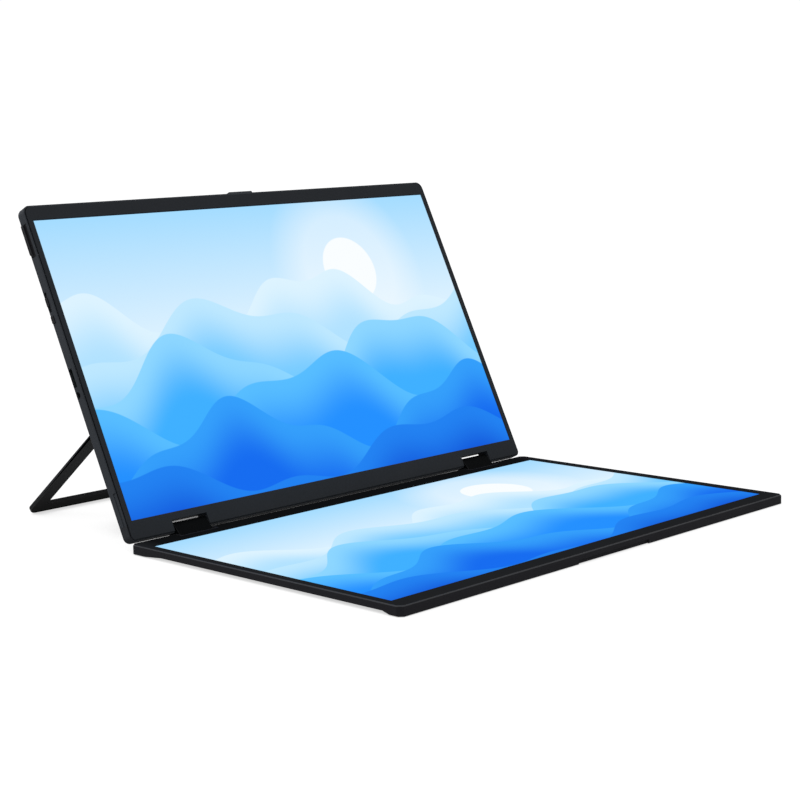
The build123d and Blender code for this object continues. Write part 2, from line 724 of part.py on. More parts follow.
# Upper rear cover: shell with the ports, the opening tab and the stand recess
left_wall = (-upper_half - cut_overrun, -edge_inner + cut_overrun)
right_wall = (edge_inner - cut_overrun, upper_half + cut_overrun)
hole_add = 2 * port_opening_clearance
board_corners = [
    (x, rise)
    for x in around(0, main_board_width / 2 - main_board_hole_inset)
    for rise in (
        main_board_bottom + main_board_hole_inset,
        main_board_bottom + main_board_height - main_board_hole_inset,
    )
]
main_board_back = main_board_depth + board_thickness
axle_x = -upper_half + rocker_axle_setback
stand_screw_places = [
    (sign * x, stand_pivot_height + stand_screw_offset)
    for sign in (-1, 1)
    for x in (
        stand_half + stand_side_clearance + stand_block_width / 2,
        stand_inner_half - stand_side_clearance - stand_block_width / 2,
    )
]
with BuildPart() as upper_rear_cover:
    with BuildSketch(at_depth(upper_face, upper_rim_depth)) as shell_outline:
        with Locations((0, (upper_top + rear_cover_bottom) / 2)):
            Rectangle(upper_width, upper_top - rear_cover_bottom)
        fillet(shell_outline.vertices().group_by(Axis.Y)[-1], upper_corner_radius)
    extrude(amount=upper_rim_depth - upper_thickness)
    back_edges = upper_rear_cover.faces().sort_by(back_axis)[-1].edges().sort_by(up_axis)[1:]
    fillet(back_edges, upper_back_radius)
    with BuildSketch(at_depth(upper_face, upper_rim_depth)) as tab_outline:
        with BuildLine():
            Polyline(
                (-tab_width / 2 - tab_slope, upper_top - upper_wall),
                (-tab_width / 2, upper_top + tab_height),
                (tab_width / 2, upper_top + tab_height),
                (tab_width / 2 + tab_slope, upper_top - upper_wall),
                close=True,
            )
        make_face()
    extrude(amount=-tab_thickness)
    with BuildSketch(at_depth(upper_face, upper_rim_depth)) as shallow_cavity:
        with Locations((0, (upper_top - upper_wall + rear_cover_bottom) / 2)):
            Rectangle(upper_width - 2 * upper_wall, upper_top - upper_wall - rear_cover_bottom)
        fillet(shallow_cavity.vertices().group_by(Axis.Y)[-1], upper_corner_radius - upper_wall)
    extrude(amount=upper_rim_depth - upper_land_depth, mode=Mode.SUBTRACT)
    with BuildSketch(at_depth(upper_face, upper_land_depth)) as deep_cavity:
        with Locations((0, (upper_top - upper_deep_wall + rear_cover_bottom) / 2)):
            Rectangle(2 * edge_inner, upper_top - upper_deep_wall - rear_cover_bottom)
        recess_outline(stand_recess_wall, Mode.SUBTRACT)
    extrude(amount=upper_land_depth - upper_floor_depth, mode=Mode.SUBTRACT)
    with BuildSketch(at_depth(upper_face, stand_floor_depth)):
        recess_outline(0, Mode.ADD)
    extrude(amount=stand_floor_depth - upper_thickness - cut_overrun, mode=Mode.SUBTRACT)
    for place in stand_screw_places:
        grip_end = stand_floor_depth - stand_screw_grip
        post(upper_face, place, stand_screw_radius + screw_fit, grip_end, stand_floor_depth, Mode.SUBTRACT)
    for place in board_corners:
        post(upper_face, place, board_boss_radius, main_board_back, upper_floor_depth)
        hole_end = main_board_back + board_screw_grip
        post(upper_face, place, leaf_screw_radius + screw_fit, main_board_back, hole_end, Mode.SUBTRACT)
    for x in leaf_screw_columns:
        place = (x, upper_leaf_screw_height)
        hole_end = upper_floor_depth + leaf_screw_grip
        post(upper_face, place, leaf_screw_radius + screw_fit, upper_floor_depth, hole_end, Mode.SUBTRACT)
    hdmi_hole = (hdmi_width + hole_add, hdmi_thickness + hole_add)
    edge_block(left_wall, hdmi_height, hdmi_hole[0], port_depth, hdmi_hole[1], Mode.SUBTRACT)
    usb_hole = (usb_width + hole_add, usb_thickness + hole_add)
    for rise in usb_heights:
        edge_block(right_wall, rise, usb_hole[0], port_depth, usb_hole[1], Mode.SUBTRACT)
    with BuildSketch(edge_plane(left_wall[0])) as jack_hole:
        with Locations((jack_height, port_depth)):
            Circle(jack_opening_radius)
    extrude(jack_hole.sketch, amount=left_wall[0] - left_wall[1], mode=Mode.SUBTRACT)
    power_hole = (power_length + 2 * key_clearance, power_width + 2 * key_clearance)
    edge_block(left_wall, power_height, power_hole[0], key_depth, power_hole[1], Mode.SUBTRACT)
    edge_block(left_wall, jog_height, jog_slot_length, key_depth, jog_slot_width, Mode.SUBTRACT)
    rocker_middle = (rocker_slot_front + rocker_slot_back) / 2
    rocker_slot_width = rocker_slot_back - rocker_slot_front
    edge_block(left_wall, rocker_height, rocker_slot_length, rocker_middle, rocker_slot_width, Mode.SUBTRACT)
    axle_hole_end = upper_floor_depth + rocker_axle_set_in
    axle_hole = rocker_axle_radius + pin_seat_fit
    post(upper_face, (axle_x, rocker_height), axle_hole, rocker_axle_front, axle_hole_end, Mode.SUBTRACT)
    recess_span = (-upper_half - cut_overrun, -upper_half + side_recess_depth)
    recess_rise = rear_cover_bottom + side_recess_length / 2
    recess_depth = side_recess_back / 2
    edge_block(recess_span, recess_rise, side_recess_length, recess_depth, side_recess_back, Mode.SUBTRACT)
save(upper_rear_cover, "upper_rear_cover")

# Upper hinge cover: separate strip along the hinge edge, with a notch for each knuckle
with BuildPart() as upper_hinge_cover:
    with BuildSketch(at_depth(upper_face, upper_rim_depth)) as strip_outline:
        with Locations((0, (upper_bottom + seam_height) / 2)):
            Rectangle(upper_width, seam_height - upper_bottom)
        fillet(strip_outline.vertices().group_by(Axis.Y)[0], upper_hinge_radius)
    extrude(amount=upper_rim_depth - upper_thickness)
    strip_back = upper_hinge_cover.faces().sort_by(back_axis)[-1].edges().sort_by(up_axis)[:-1]
    fillet(strip_back, upper_back_radius)
    with BuildSketch(at_depth(upper_face, upper_rim_depth)) as strip_cavity:
        with Locations((0, (upper_bottom + upper_wall + seam_height) / 2)):
            Rectangle(upper_width - 2 * upper_wall, seam_height - upper_bottom - upper_wall)
        fillet(strip_cavity.vertices().group_by(Axis.Y)[0], upper_hinge_radius - upper_wall)
        for side, centre in hinge_centres:
            with Locations((centre, (upper_bottom + seam_height) / 2)):
                Rectangle(notch_width + 2 * lower_wall, seam_height - upper_bottom, mode=Mode.SUBTRACT)
    extrude(amount=upper_rim_depth - upper_floor_depth, mode=Mode.SUBTRACT)
    for side, centre in hinge_centres:
        notch_rise = (upper_bottom - cut_overrun, cover_notch_top)
        block(upper_face, around(centre, notch_half), notch_rise, 0, behind_upper, Mode.SUBTRACT)
        pin_hole_span = around(centre, notch_half + lower_wall + cut_overrun)
        rod(upper_axis, pin_hole_span, hinge_pin_radius + pin_wall_clearance, Mode.SUBTRACT)
    for x in cover_screw_places:
        place = (x, upper_screw_height)
        shank_hole = cover_screw_radius + screw_clearance
        head_hole = cover_screw_head_radius + head_clearance
        head_seat = upper_thickness - cover_screw_head
        post(upper_face, place, shank_hole, upper_floor_depth, behind_upper, Mode.SUBTRACT)
        post(upper_face, place, head_hole, head_seat, behind_upper, Mode.SUBTRACT)
save(upper_hinge_cover, "upper_hinge_cover")

# Upper bezel: black frame plate around the picture, notched for the knuckles
bezel_half = upper_half - upper_bezel_inset
bezel_top = upper_top - upper_bezel_inset
with BuildPart() as upper_bezel:
    with BuildSketch(upper_face) as frame_outline:
        with Locations((0, (upper_bezel_bottom + bezel_top) / 2)):
            Rectangle(2 * bezel_half, bezel_top - upper_bezel_bottom)
        fillet(frame_outline.vertices().group_by(Axis.Y)[-1], bezel_top_radius)
        fillet(frame_outline.vertices().group_by(Axis.Y)[0], bezel_hinge_radius)
        with Locations((0, (picture_bottom + picture_top) / 2)):
            Rectangle(picture_width, picture_height, mode=Mode.SUBTRACT)
        for side, centre in hinge_centres:
            with Locations((centre, bezel_notch_top / 2)):
                Rectangle(notch_width, bezel_notch_top, mode=Mode.SUBTRACT)
    extrude(amount=-bezel_thickness)
    with BuildSketch(edge_plane(upper_half)) as hinge_bevel:
        with BuildLine():
            Polyline(
                (upper_bezel_bottom, 0),
                (upper_bezel_bottom + bezel_hinge_bevel, 0),
                (upper_bezel_bottom, bezel_hinge_bevel),
                close=True,
            )
        make_face()
    extrude(amount=upper_width, mode=Mode.SUBTRACT)
    chamfer(upper_bezel.faces().sort_by(back_axis)[0].inner_wires().edges(), length=window_bevel)
    for x in cover_screw_places:
        place = (x, upper_screw_height)
        pilot_end = upper_floor_depth - cover_screw_grip
        post(upper_face, place, cover_boss_radius, bezel_thickness, upper_floor_depth)
        post(upper_face, place, cover_screw_radius + screw_fit, pilot_end, upper_floor_depth, Mode.SUBTRACT)
save(upper_bezel, "upper_bezel")

# Support plate: pressed steel sheet behind the upper panel, seated on the stand recess
with BuildPart() as upper_support_plate:
    plate_rise = (upper_panel[0] + support_plate_edge, upper_panel[1] - support_plate_edge)
    plate_half = upper_half - support_plate_side
    block(upper_face, around(0, plate_half), plate_rise, upper_plate_depth, upper_land_depth)
save(upper_support_plate, "upper_support_plate")

# Main board on four bosses, with its chips, its screws and its plug block
plug_x = main_board_width / 2 - plug_edge_gap - plug_size / 2
plug_places = ((-plug_x, hinge_ribbon_turn), (-plug_x, side_ribbon_turn), (plug_x, side_ribbon_turn))
ribbon_front = upper_floor_depth - ribbon_thickness
with BuildPart() as main_board:
    board_rise = (main_board_bottom, main_board_bottom + main_board_height)
    block(upper_face, around(0, main_board_width / 2), board_rise, main_board_depth, main_board_back)
    for place in board_corners:
        hole = leaf_screw_radius + screw_clearance
        post(upper_face, place, hole, main_board_depth, main_board_back, Mode.SUBTRACT)
    for x, rise in plug_places:
        plug_rise = around(rise, ribbon_width / 2)
        block(upper_face, around(x, plug_size / 2), plug_rise, main_board_back, ribbon_front)
save(main_board, "main_board")
with BuildPart() as main_board_chips:
    for size, x, rise in zip(chip_sizes, chip_x, chip_rise):
        chip_rise_span = around(main_board_bottom + rise, size / 2)
        chip_front = main_board_depth - chip_height
        block(upper_face, around(x, size / 2), chip_rise_span, chip_front, main_board_depth)
save(main_board_chips, "main_board_chips")
with BuildPart() as main_board_screws:
    for place in board_corners:
        head_front = main_board_depth - leaf_screw_head
        post(upper_face, place, leaf_screw_head_radius, head_front, main_board_depth)
        post(upper_face, place, leaf_screw_radius, main_board_depth, main_board_back + board_screw_grip)
save(main_board_screws, "main_board_screws")

# Boards behind the left and right edges
board_outer = edge_inner - edge_board_gap
edge_board_width = board_outer - block_outer - stand_recess_wall - edge_board_stand_gap
for label, sign, bottom, top in (
    ("side_board", -1, side_board_bottom, side_board_top),
    ("usb_board", 1, usb_board_bottom, usb_board_top),
):
    with BuildPart() as edge_board:
        board_span = sorted((sign * board_outer, sign * (board_outer - edge_board_width)))
        block(upper_face, board_span, (bottom, top), board_depth, upper_floor_depth)
    save(edge_board, label)


def receptacle(sign, rise, width, thickness, tongue_width, tongue_thickness):
    """Port shell behind the left (-1) or right (1) edge, with an open mouth and a contact tongue inside."""
    mouth_end = board_outer - port_body_length + port_floor
    shell = sorted((sign * board_outer, sign * (board_outer - port_body_length)))
    mouth = sorted((sign * board_outer, sign * mouth_end))
    tongue = sorted((sign * (board_outer - tongue_setback), sign * mouth_end))
    edge_block(shell, rise, width, port_depth, thickness)
    edge_block(mouth, rise, width - 2 * port_wall, port_depth, thickness - 2 * port_wall, Mode.SUBTRACT)
    edge_block(tongue, rise, tongue_width, port_depth, tongue_thickness)


# Ports: one video receptacle and the sound jack on the left, two supply receptacles on the right
with BuildPart() as hdmi_receptacle:
    receptacle(-1, hdmi_height, hdmi_width, hdmi_thickness, hdmi_tongue_width, hdmi_tongue_thickness)
save(hdmi_receptacle, "hdmi_receptacle")
with BuildPart() as usb_c_receptacles:
    for rise in usb_heights:
        receptacle(1, rise, usb_width, usb_thickness, usb_tongue_width, usb_tongue_thickness)
save(usb_c_receptacles, "usb_c_receptacles")
with BuildPart() as audio_jack:
    jack_span = (-board_outer, -board_outer + jack_body_length)
    edge_block(jack_span, jack_height, jack_body_width, port_depth, jack_body_thickness)
    with BuildSketch(edge_plane(jack_span[0])) as jack_bore:
        with Locations((jack_height, port_depth)):
            Circle(jack_bore_radius)
    extrude(jack_bore.sketch, amount=port_floor - jack_body_length, mode=Mode.SUBTRACT)
save(audio_jack, "audio_jack")


def ribbon(corners):
    """Flat cable lying on the back wall along a path of square turns."""
    for start, end in zip(corners[:-1], corners[1:]):
        x_span = (min(start[0], end[0]) - ribbon_width / 2, max(start[0], end[0]) + ribbon_width / 2)
        rise = (min(start[1], end[1]) - ribbon_width / 2, max(start[1], end[1]) + ribbon_width / 2)
        block(upper_face, x_span, rise, ribbon_front, upper_floor_depth)


# Flat cables: from the main board to the left hinge and to the two edge boards
with BuildPart() as upper_link_cable:
    hinge_end = hinge_ribbon_bottom + ribbon_width / 2
    hinge_ribbon_x = -hinge_spacing / 2 + hinge_ribbon_offset
    ribbon(((hinge_ribbon_x, hinge_end), (hinge_ribbon_x, hinge_ribbon_turn), (-plug_x, hinge_ribbon_turn)))
save(upper_link_cable, "upper_link_cable")
for label, sign, end in (
    ("side_board_cable", -1, side_board_bottom),
    ("usb_board_cable", 1, usb_board_bottom),
):
    with BuildPart() as edge_cable:
        edge_x = sign * (upper_half - side_ribbon_inset)
        cable_end = end - ribbon_width / 2
        ribbon(((edge_x, cable_end), (edge_x, side_ribbon_turn), (sign * plug_x, side_ribbon_turn)))
    save(edge_cable, label)

# Power button: cap through the edge with an inner flange that keeps it in
with BuildPart() as power_button:
    flange_x = -edge_inner + flange_gap
    edge_block((-upper_half - power_stand_out, flange_x), power_height, power_length, key_depth, power_width)
    flange_length = power_length + 2 * power_flange
    flange_span = (flange_x, flange_x + flange_thickness)
    edge_block(flange_span, power_height, flange_length, key_depth, power_width)
save(power_button, "power_button")

# Menu key: a sliding carriage sunk in its slot, with a raised nub
with BuildPart() as menu_jog_key:
    jog_width = jog_slot_width - 2 * key_clearance
    carriage_x = -upper_half + jog_carriage_sink
    edge_block((-upper_half - jog_stand_out, carriage_x), jog_height, jog_nub_length, key_depth, jog_width)
    edge_block((carriage_x, flange_x), jog_height, jog_carriage_length, key_depth, jog_width)
    jog_flange_length = jog_carriage_length + 2 * jog_flange
    edge_block(flange_span, jog_height, jog_flange_length, key_depth, jog_width)
save(menu_jog_key, "menu_jog_key")

# Rocker: a sunk plate with a raised ridge, rocking on an axle inside the edge
rocker_length = rocker_slot_length - 2 * rocker_clearance
plate_front = rocker_slot_front + rocker_clearance
plate_back = rocker_slot_back - rocker_clearance
plate_x = -upper_half + rocker_sink
with BuildPart() as rocker_key:
    plate_span = (plate_x, plate_x + rocker_plate)
    plate_middle = (plate_front + plate_back) / 2
    edge_block(plate_span, rocker_height, rocker_length, plate_middle, plate_back - plate_front)
    with BuildSketch(at_depth(upper_face, rocker_ridge_front)) as ridge_outline:
        with BuildLine():
            Polyline(
                (plate_x, rocker_height - rocker_length / 2),
                (plate_x - rocker_ridge_height, rocker_height - rocker_length / 2 + rocker_ridge_slope),
                (plate_x - rocker_ridge_height, rocker_height + rocker_length / 2),
                (plate_x, rocker_height + rocker_length / 2),
                close=True,
            )
        make_face()
    extrude(amount=rocker_ridge_front - plate_back)
    stem_span = (plate_span[1], plate_span[1] + rocker_stem_reach)
    stem_middle = (rocker_ridge_front + plate_back) / 2
    edge_block(stem_span, rocker_height, rocker_stem_length, stem_middle, rocker_stem_width)
    bore = rocker_axle_radius + pin_running_fit
    post(upper_face, (axle_x, rocker_height), bore, rocker_ridge_front, upper_floor_depth, Mode.SUBTRACT)
save(rocker_key, "rocker_key")
with BuildPart() as rocker_axle:
    axle_end = upper_floor_depth + rocker_axle_set_in
    post(upper_face, (axle_x, rocker_height), rocker_axle_radius, rocker_axle_front, axle_end)
save(rocker_axle, "rocker_axle")

# Switches behind the controls, seated on the side board
switch_middle = (switch_front + board_depth) / 2
switch_height = board_depth - switch_front
with BuildPart() as power_switch:
    power_face = flange_span[1] + power_travel
    power_span = (power_face, power_face + switch_depth)
    edge_block(power_span, power_height, switch_length, switch_middle, switch_height)
save(power_switch, "power_switch")
with BuildPart() as jog_switch:
    jog_face = flange_span[1] + flange_gap
    jog_span = (jog_face, jog_face + switch_depth)
    edge_block(jog_span, jog_height, jog_switch_length, switch_middle, switch_height)
save(jog_switch, "jog_switch")
with BuildPart() as rocker_switches:
    plunger_span = (plate_span[1] + rocker_switch_gap, flange_x)
    body_span = (flange_x, flange_x + switch_depth)
    for rise in around(rocker_height, rocker_switch_reach):
        edge_block(plunger_span, rise, switch_plunger, switch_middle, switch_plunger)
        edge_block(body_span, rise, rocker_switch_length, switch_middle, switch_height)
save(rocker_switches, "rocker_switches")

# Stand: U-shaped frame that swings on two pins, with a rubber strip on its foot
frame_length = stand_length - stand_strip_thickness
with BuildPart() as stand_frame:
    with BuildSketch(stand_face.offset(-stand_thickness / 2)) as frame_plan:
        with Locations((0, stand_length / 2)):
            Rectangle(stand_outer_width, stand_length)
        fillet(frame_plan.vertices().group_by(Axis.Y)[-1], stand_corner_radius)
        gap_length = stand_length - stand_bar_width
        with Locations((0, gap_length / 2)):
            Rectangle(2 * stand_inner_half, gap_length, mode=Mode.SUBTRACT)
        with Locations((0, stand_length)):
            Rectangle(stand_outer_width, 2 * stand_strip_thickness, mode=Mode.SUBTRACT)
    extrude(amount=stand_thickness)
    for span in ((-stand_half, -stand_inner_half), (stand_inner_half, stand_half)):
        rod(stand_pivot, span, stand_thickness / 2)
        rod(stand_pivot, span, stand_pin_radius + pin_running_fit, Mode.SUBTRACT)
save(stand_frame, "stand_frame")
with BuildPart() as stand_foot_strip:
    with BuildSketch(stand_face.offset(-stand_thickness / 2)) as strip_plan:
        with Locations((0, stand_length / 2)):
            Rectangle(stand_outer_width, stand_length)
        fillet(strip_plan.vertices().group_by(Axis.Y)[-1], stand_corner_radius)
        with Locations((0, frame_length / 2)):
            Rectangle(stand_outer_width, frame_length, mode=Mode.SUBTRACT)
    extrude(amount=stand_thickness)
save(stand_foot_strip, "stand_foot_strip")

# Stand pivots: a pin through each leg, held in two blocks screwed to the rear cover
block_front = stand_floor_depth
block_back = upper_thickness - stand_block_sink
block_rise = around(stand_pivot_height, stand_block_length / 2)
for side, sign in (("left", -1), ("right", 1)):
    outer_start = stand_half + stand_side_clearance
    inner_start = stand_inner_half - stand_side_clearance
    outer_span = sorted((sign * outer_start, sign * (outer_start + stand_block_width)))
    inner_span = sorted((sign * inner_start, sign * (inner_start - stand_block_width)))
    pin_span = (
        min(outer_span[0], inner_span[0]) + stand_pin_end_gap,
        max(outer_span[1], inner_span[1]) - stand_pin_end_gap,
    )
    with BuildPart() as hinge_blocks:
        for span in (outer_span, inner_span):
            block(upper_face, span, block_rise, block_front, block_back)
            place = (sum(span) / 2, stand_pivot_height + stand_screw_offset)
            shank_hole = stand_screw_radius + screw_clearance
            head_hole = stand_screw_head_radius + head_clearance
            post(upper_face, place, shank_hole, block_front, block_back, Mode.SUBTRACT)
            post(upper_face, place, head_hole, block_back - stand_screw_head, block_back, Mode.SUBTRACT)
        rod(stand_pivot, pin_span, stand_pin_radius + pin_seat_fit, Mode.SUBTRACT)
    save(hinge_blocks, f"stand_hinge_blocks_{side}")
    with BuildPart() as stand_pin:
        rod(stand_pivot, pin_span, stand_pin_radius)
    save(stand_pin, f"stand_hinge_pin_{side}")
with BuildPart() as stand_block_screws:
    for place in stand_screw_places:
        head_front = block_back - stand_screw_head
        post(upper_face, place, stand_screw_head_radius, head_front, block_back)
        post(upper_face, place, stand_screw_radius, stand_floor_depth - stand_screw_grip, head_front)
save(stand_block_screws, "stand_block_screws")
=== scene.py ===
"""Dual-screen portable monitor, open on its stand. Metres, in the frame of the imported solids."""
import json
from math import atan2, cos, pi, sin

import bmesh
import bpy
from mathutils import Matrix, Vector


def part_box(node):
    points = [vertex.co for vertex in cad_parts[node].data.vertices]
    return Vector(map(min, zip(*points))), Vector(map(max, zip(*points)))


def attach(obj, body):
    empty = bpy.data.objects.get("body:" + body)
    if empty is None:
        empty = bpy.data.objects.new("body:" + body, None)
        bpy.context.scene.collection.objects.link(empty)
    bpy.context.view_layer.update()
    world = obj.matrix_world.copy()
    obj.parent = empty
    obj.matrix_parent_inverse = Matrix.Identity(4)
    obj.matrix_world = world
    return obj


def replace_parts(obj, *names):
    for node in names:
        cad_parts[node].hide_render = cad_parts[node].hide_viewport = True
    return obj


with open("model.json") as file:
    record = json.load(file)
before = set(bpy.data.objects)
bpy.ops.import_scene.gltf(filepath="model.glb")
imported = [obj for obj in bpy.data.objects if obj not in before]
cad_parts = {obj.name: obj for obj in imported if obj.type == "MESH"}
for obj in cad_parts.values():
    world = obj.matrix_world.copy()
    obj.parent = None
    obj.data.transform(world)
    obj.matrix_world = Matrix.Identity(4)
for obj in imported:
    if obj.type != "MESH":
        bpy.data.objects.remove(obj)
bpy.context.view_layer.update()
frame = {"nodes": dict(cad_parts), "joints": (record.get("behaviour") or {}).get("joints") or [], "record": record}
nodes = frame["nodes"]

# Shells: the lower tray, the upper back and the strip along its hinge edge, moulded in dark grey ABS.
# The moulds are spark eroded, which leaves a fine satin grain. Screws from the back hold the shells to the bezels.
mottle_size = 0.035
shell_grain = 0.0009
shell_relief = 0.00002
gloss_spread = 0.06


def linear(code):
    """Linear colour of an sRGB hex code."""
    tones = [int(code[i : i + 2], 16) / 255 for i in (1, 3, 5)]
    return [t / 12.92 if t <= 0.04045 else ((t + 0.055) / 1.055) ** 2.4 for t in tones] + [1.0]


def add(tree, kind, inputs=(), **settings):
    """One shader node with its settings; an input takes a link from a socket or a fixed value.

    Inputs 1 to 4 of a Map Range are two values and what they become. 0, 6 and 7 of a Mix are its share and colours.
    """
    node = tree.nodes.new("ShaderNode" + kind)
    for name, value in settings.items():
        setattr(node, name, value)
    for key, value in dict(inputs).items():
        if isinstance(value, bpy.types.NodeSocket):
            tree.links.new(value, node.inputs[key])
        else:
            node.inputs[key].default_value = value
    return node


def finish_named(name):
    """New material: its node tree and the place of a point on the piece."""
    material = bpy.data.materials.new(name)
    material.use_nodes = True
    material.node_tree.nodes.clear()
    return material, material.node_tree, add(material.node_tree, "TexCoord").outputs["Object"]


def seal(tree, **surface):
    """Principled surface with spaced socket names written with underscores, linked to the output."""
    inputs = {name.replace("_", " "): value for name, value in surface.items()}
    shader = add(tree, "BsdfPrincipled", inputs)
    add(tree, "OutputMaterial", {"Surface": shader.outputs["BSDF"]})


def paint(material, *names):
    """Give solids their material."""
    for name in names:
        nodes[name].data.materials.clear()
        nodes[name].data.materials.append(material)


def moulded(name, tones, roughness, specular, grain=shell_grain, relief=shell_relief, patch=None):
    """Moulded plastic: two close tones in a slow mottle under the mould's grain, with a patch of another tone."""
    material, tree, place = finish_named(name)
    flow = add(tree, "TexNoise", {"Vector": place, "Scale": 1 / mottle_size, "Detail": 4.0}).outputs["Fac"]
    pits = add(tree, "TexNoise", {"Vector": place, "Scale": 1 / grain, "Detail": 2.0}).outputs["Fac"]
    dark, light = tones
    tone = add(tree, "Mix", {0: flow, 6: linear(dark), 7: linear(light)}, data_type="RGBA").outputs[2]
    if patch:
        other, share = patch
        tone = add(tree, "Mix", {0: share(tree), 6: tone, 7: linear(other)}, data_type="RGBA").outputs[2]
    smooth, rough = roughness - gloss_spread, roughness + gloss_spread
    gloss = add(tree, "MapRange", {"Value": pits, 1: 0.3, 2: 0.7, 3: smooth, 4: rough}).outputs["Result"]
    bump = add(tree, "Bump", {"Height": pits, "Strength": 0.4, "Distance": relief}).outputs["Normal"]
    seal(tree, Base_Color=tone, Roughness=gloss, Specular_IOR_Level=specular, Normal=bump)
    return material


def painted_bevel_highlight(tree):
    """Share of the painted highlight: full where a face leans between upright and level, as the bevel round the
    tray's rim does.
    """
    facing_way = add(tree, "TexCoord").outputs["Normal"]
    tilt = add(tree, "SeparateXYZ", {"Vector": facing_way}).outputs["Z"]
    leaning = add(tree, "MapRange", {"Value": tilt, 1: 0.5, 2: 0.6, 3: 0.0, 4: 1.0}).outputs["Result"]
    return add(tree, "MapRange", {"Value": tilt, 1: 0.8, 2: 0.9, 3: leaning, 4: 0.0}).outputs["Result"]


# Dark grey ABS from an eroded mould: satin, with a soft wide highlight. The 0.15 mm grain is drawn at 0.9 mm.
# The tray's rim has a painted highlight along its bevel, a paler tone on faces that lean between upright and level.
# The three shell copies are one plastic in three tones, lightest on the upper back, darker on its hinge strip and
# darkest on the lower tray: painted light and shade for how the light falls on each.
upper_abs = moulded("satin_grey_ABS_upper", ("#31353A", "#393C41"), 0.55, 0.08)
hinge_abs = moulded("satin_grey_ABS_hinge_strip", ("#2B2C30", "#313438"), 0.55, 0.08)
lower_abs = moulded("satin_grey_ABS_lower", ("#212124", "#26262A"), 0.55, 0.06, patch=("#38393C", painted_bevel_highlight))
paint(upper_abs, "upper_rear_cover")
paint(hinge_abs, "upper_hinge_cover")
paint(lower_abs, "lower_rear_cover")

# Bezels: one black frame plate for each display, moulded in a blend of PC and ABS.
# It is let into the shell round the picture, and bosses behind it take the cover's screws.
bezel_grain = 0.0007
hinge_shade_start, hinge_shade_full = -0.0065, -0.0035
hinge_shade_half, hinge_shade_end = 0.164, 0.176
hinge_shade_share = 0.92


def painted_hinge_shade(tree):
    """Share of the painted shade: nearly full where the lower bezel runs along the hinge, and fading out at its two
    ends.
    """
    spot = add(tree, "SeparateXYZ", {"Vector": add(tree, "TexCoord").outputs["Object"]}).outputs
    off = add(tree, "Math", {0: spot["X"]}, operation="ABSOLUTE").outputs[0]
    ends = {"Value": off, 1: hinge_shade_half, 2: hinge_shade_end, 3: hinge_shade_share, 4: 0.0}
    along = add(tree, "MapRange", ends).outputs["Result"]
    depth = {"Value": spot["Y"], 1: hinge_shade_start, 2: hinge_shade_full, 3: 0.0, 4: along}
    return add(tree, "MapRange", depth).outputs["Result"]


# Black PC and ABS from a finer mould: duller than the shells, with almost no highlight. Its 0.12 mm grain is drawn
# at 0.7 mm. Along the hinge the lower one has a deeper black, a painted shade under the upper display.
# The two bezels are one plastic: the lower one's darker tone is painted shade, set against the stronger light on
# its upward face.
upper_pc = moulded("matte_black_PC_ABS_upper", ("#24272A", "#2A2C30"), 0.72, 0.06, bezel_grain)
lower_pc = moulded(
    "matte_black_PC_ABS_lower", ("#1B1C1E", "#202123"), 0.85, 0.0, bezel_grain, patch=("#0F1011", painted_hinge_shade)
)
paint(upper_pc, "upper_bezel")
paint(lower_pc, "lower_bezel")

# Displays: a glass liquid crystal cell with an anti-glare film, laid on its light guide behind the bezel.
# Both show one picture, a plain design of layered hills under a pale sky. Its middle lies a little nearer
# to the hinge than the cell's.
picture_width = 0.34416
picture_height = 0.19359
cell_shift = 0.0023
border_blur = 0.0002
film_grain = 0.0006
film_relief = 0.00001
sky_low, sky_high = -0.02, 0.097
sky_tones = ("#EEF9FF", "#A4DCFF")
disc_spot = (0.075, 0.045, 0.0)
disc_tone = "#FBFEFF"
disc_rings = ((0.040, 0.030, 0.45), (0.0235, 0.0008, 0.95))
haze_depth = 0.045
crest_blur = 0.0003
# Each hill: height of its line, a long wave and a ripple (size, length, phase), and the tones of its crest and foot
hills = (
    (0.030, (0.016, 0.210, 0.6), (0.006, 0.071, 2.1), "#DDF3FF", "#B2E2FF"),
    (0.012, (0.019, 0.260, 2.9), (0.007, 0.093, 0.4), "#BEE8FF", "#77CBFF"),
    (-0.010, (0.020, 0.190, 4.6), (0.006, 0.082, 3.3), "#8DD6FF", "#3FB0FF"),
    (-0.033, (0.018, 0.240, 1.3), (0.008, 0.101, 5.2), "#57BDFF", "#2390FF"),
    (-0.057, (0.020, 0.220, 3.6), (0.006, 0.077, 1.0), "#349FFB", "#146CF0"),
    (-0.082, (0.014, 0.280, 5.4), (0.005, 0.090, 4.0), "#2182F2", "#0B4AD6"),
)
rise = Vector(next(joint for joint in frame["joints"] if joint["name"] == "menu_slide")["axis"])


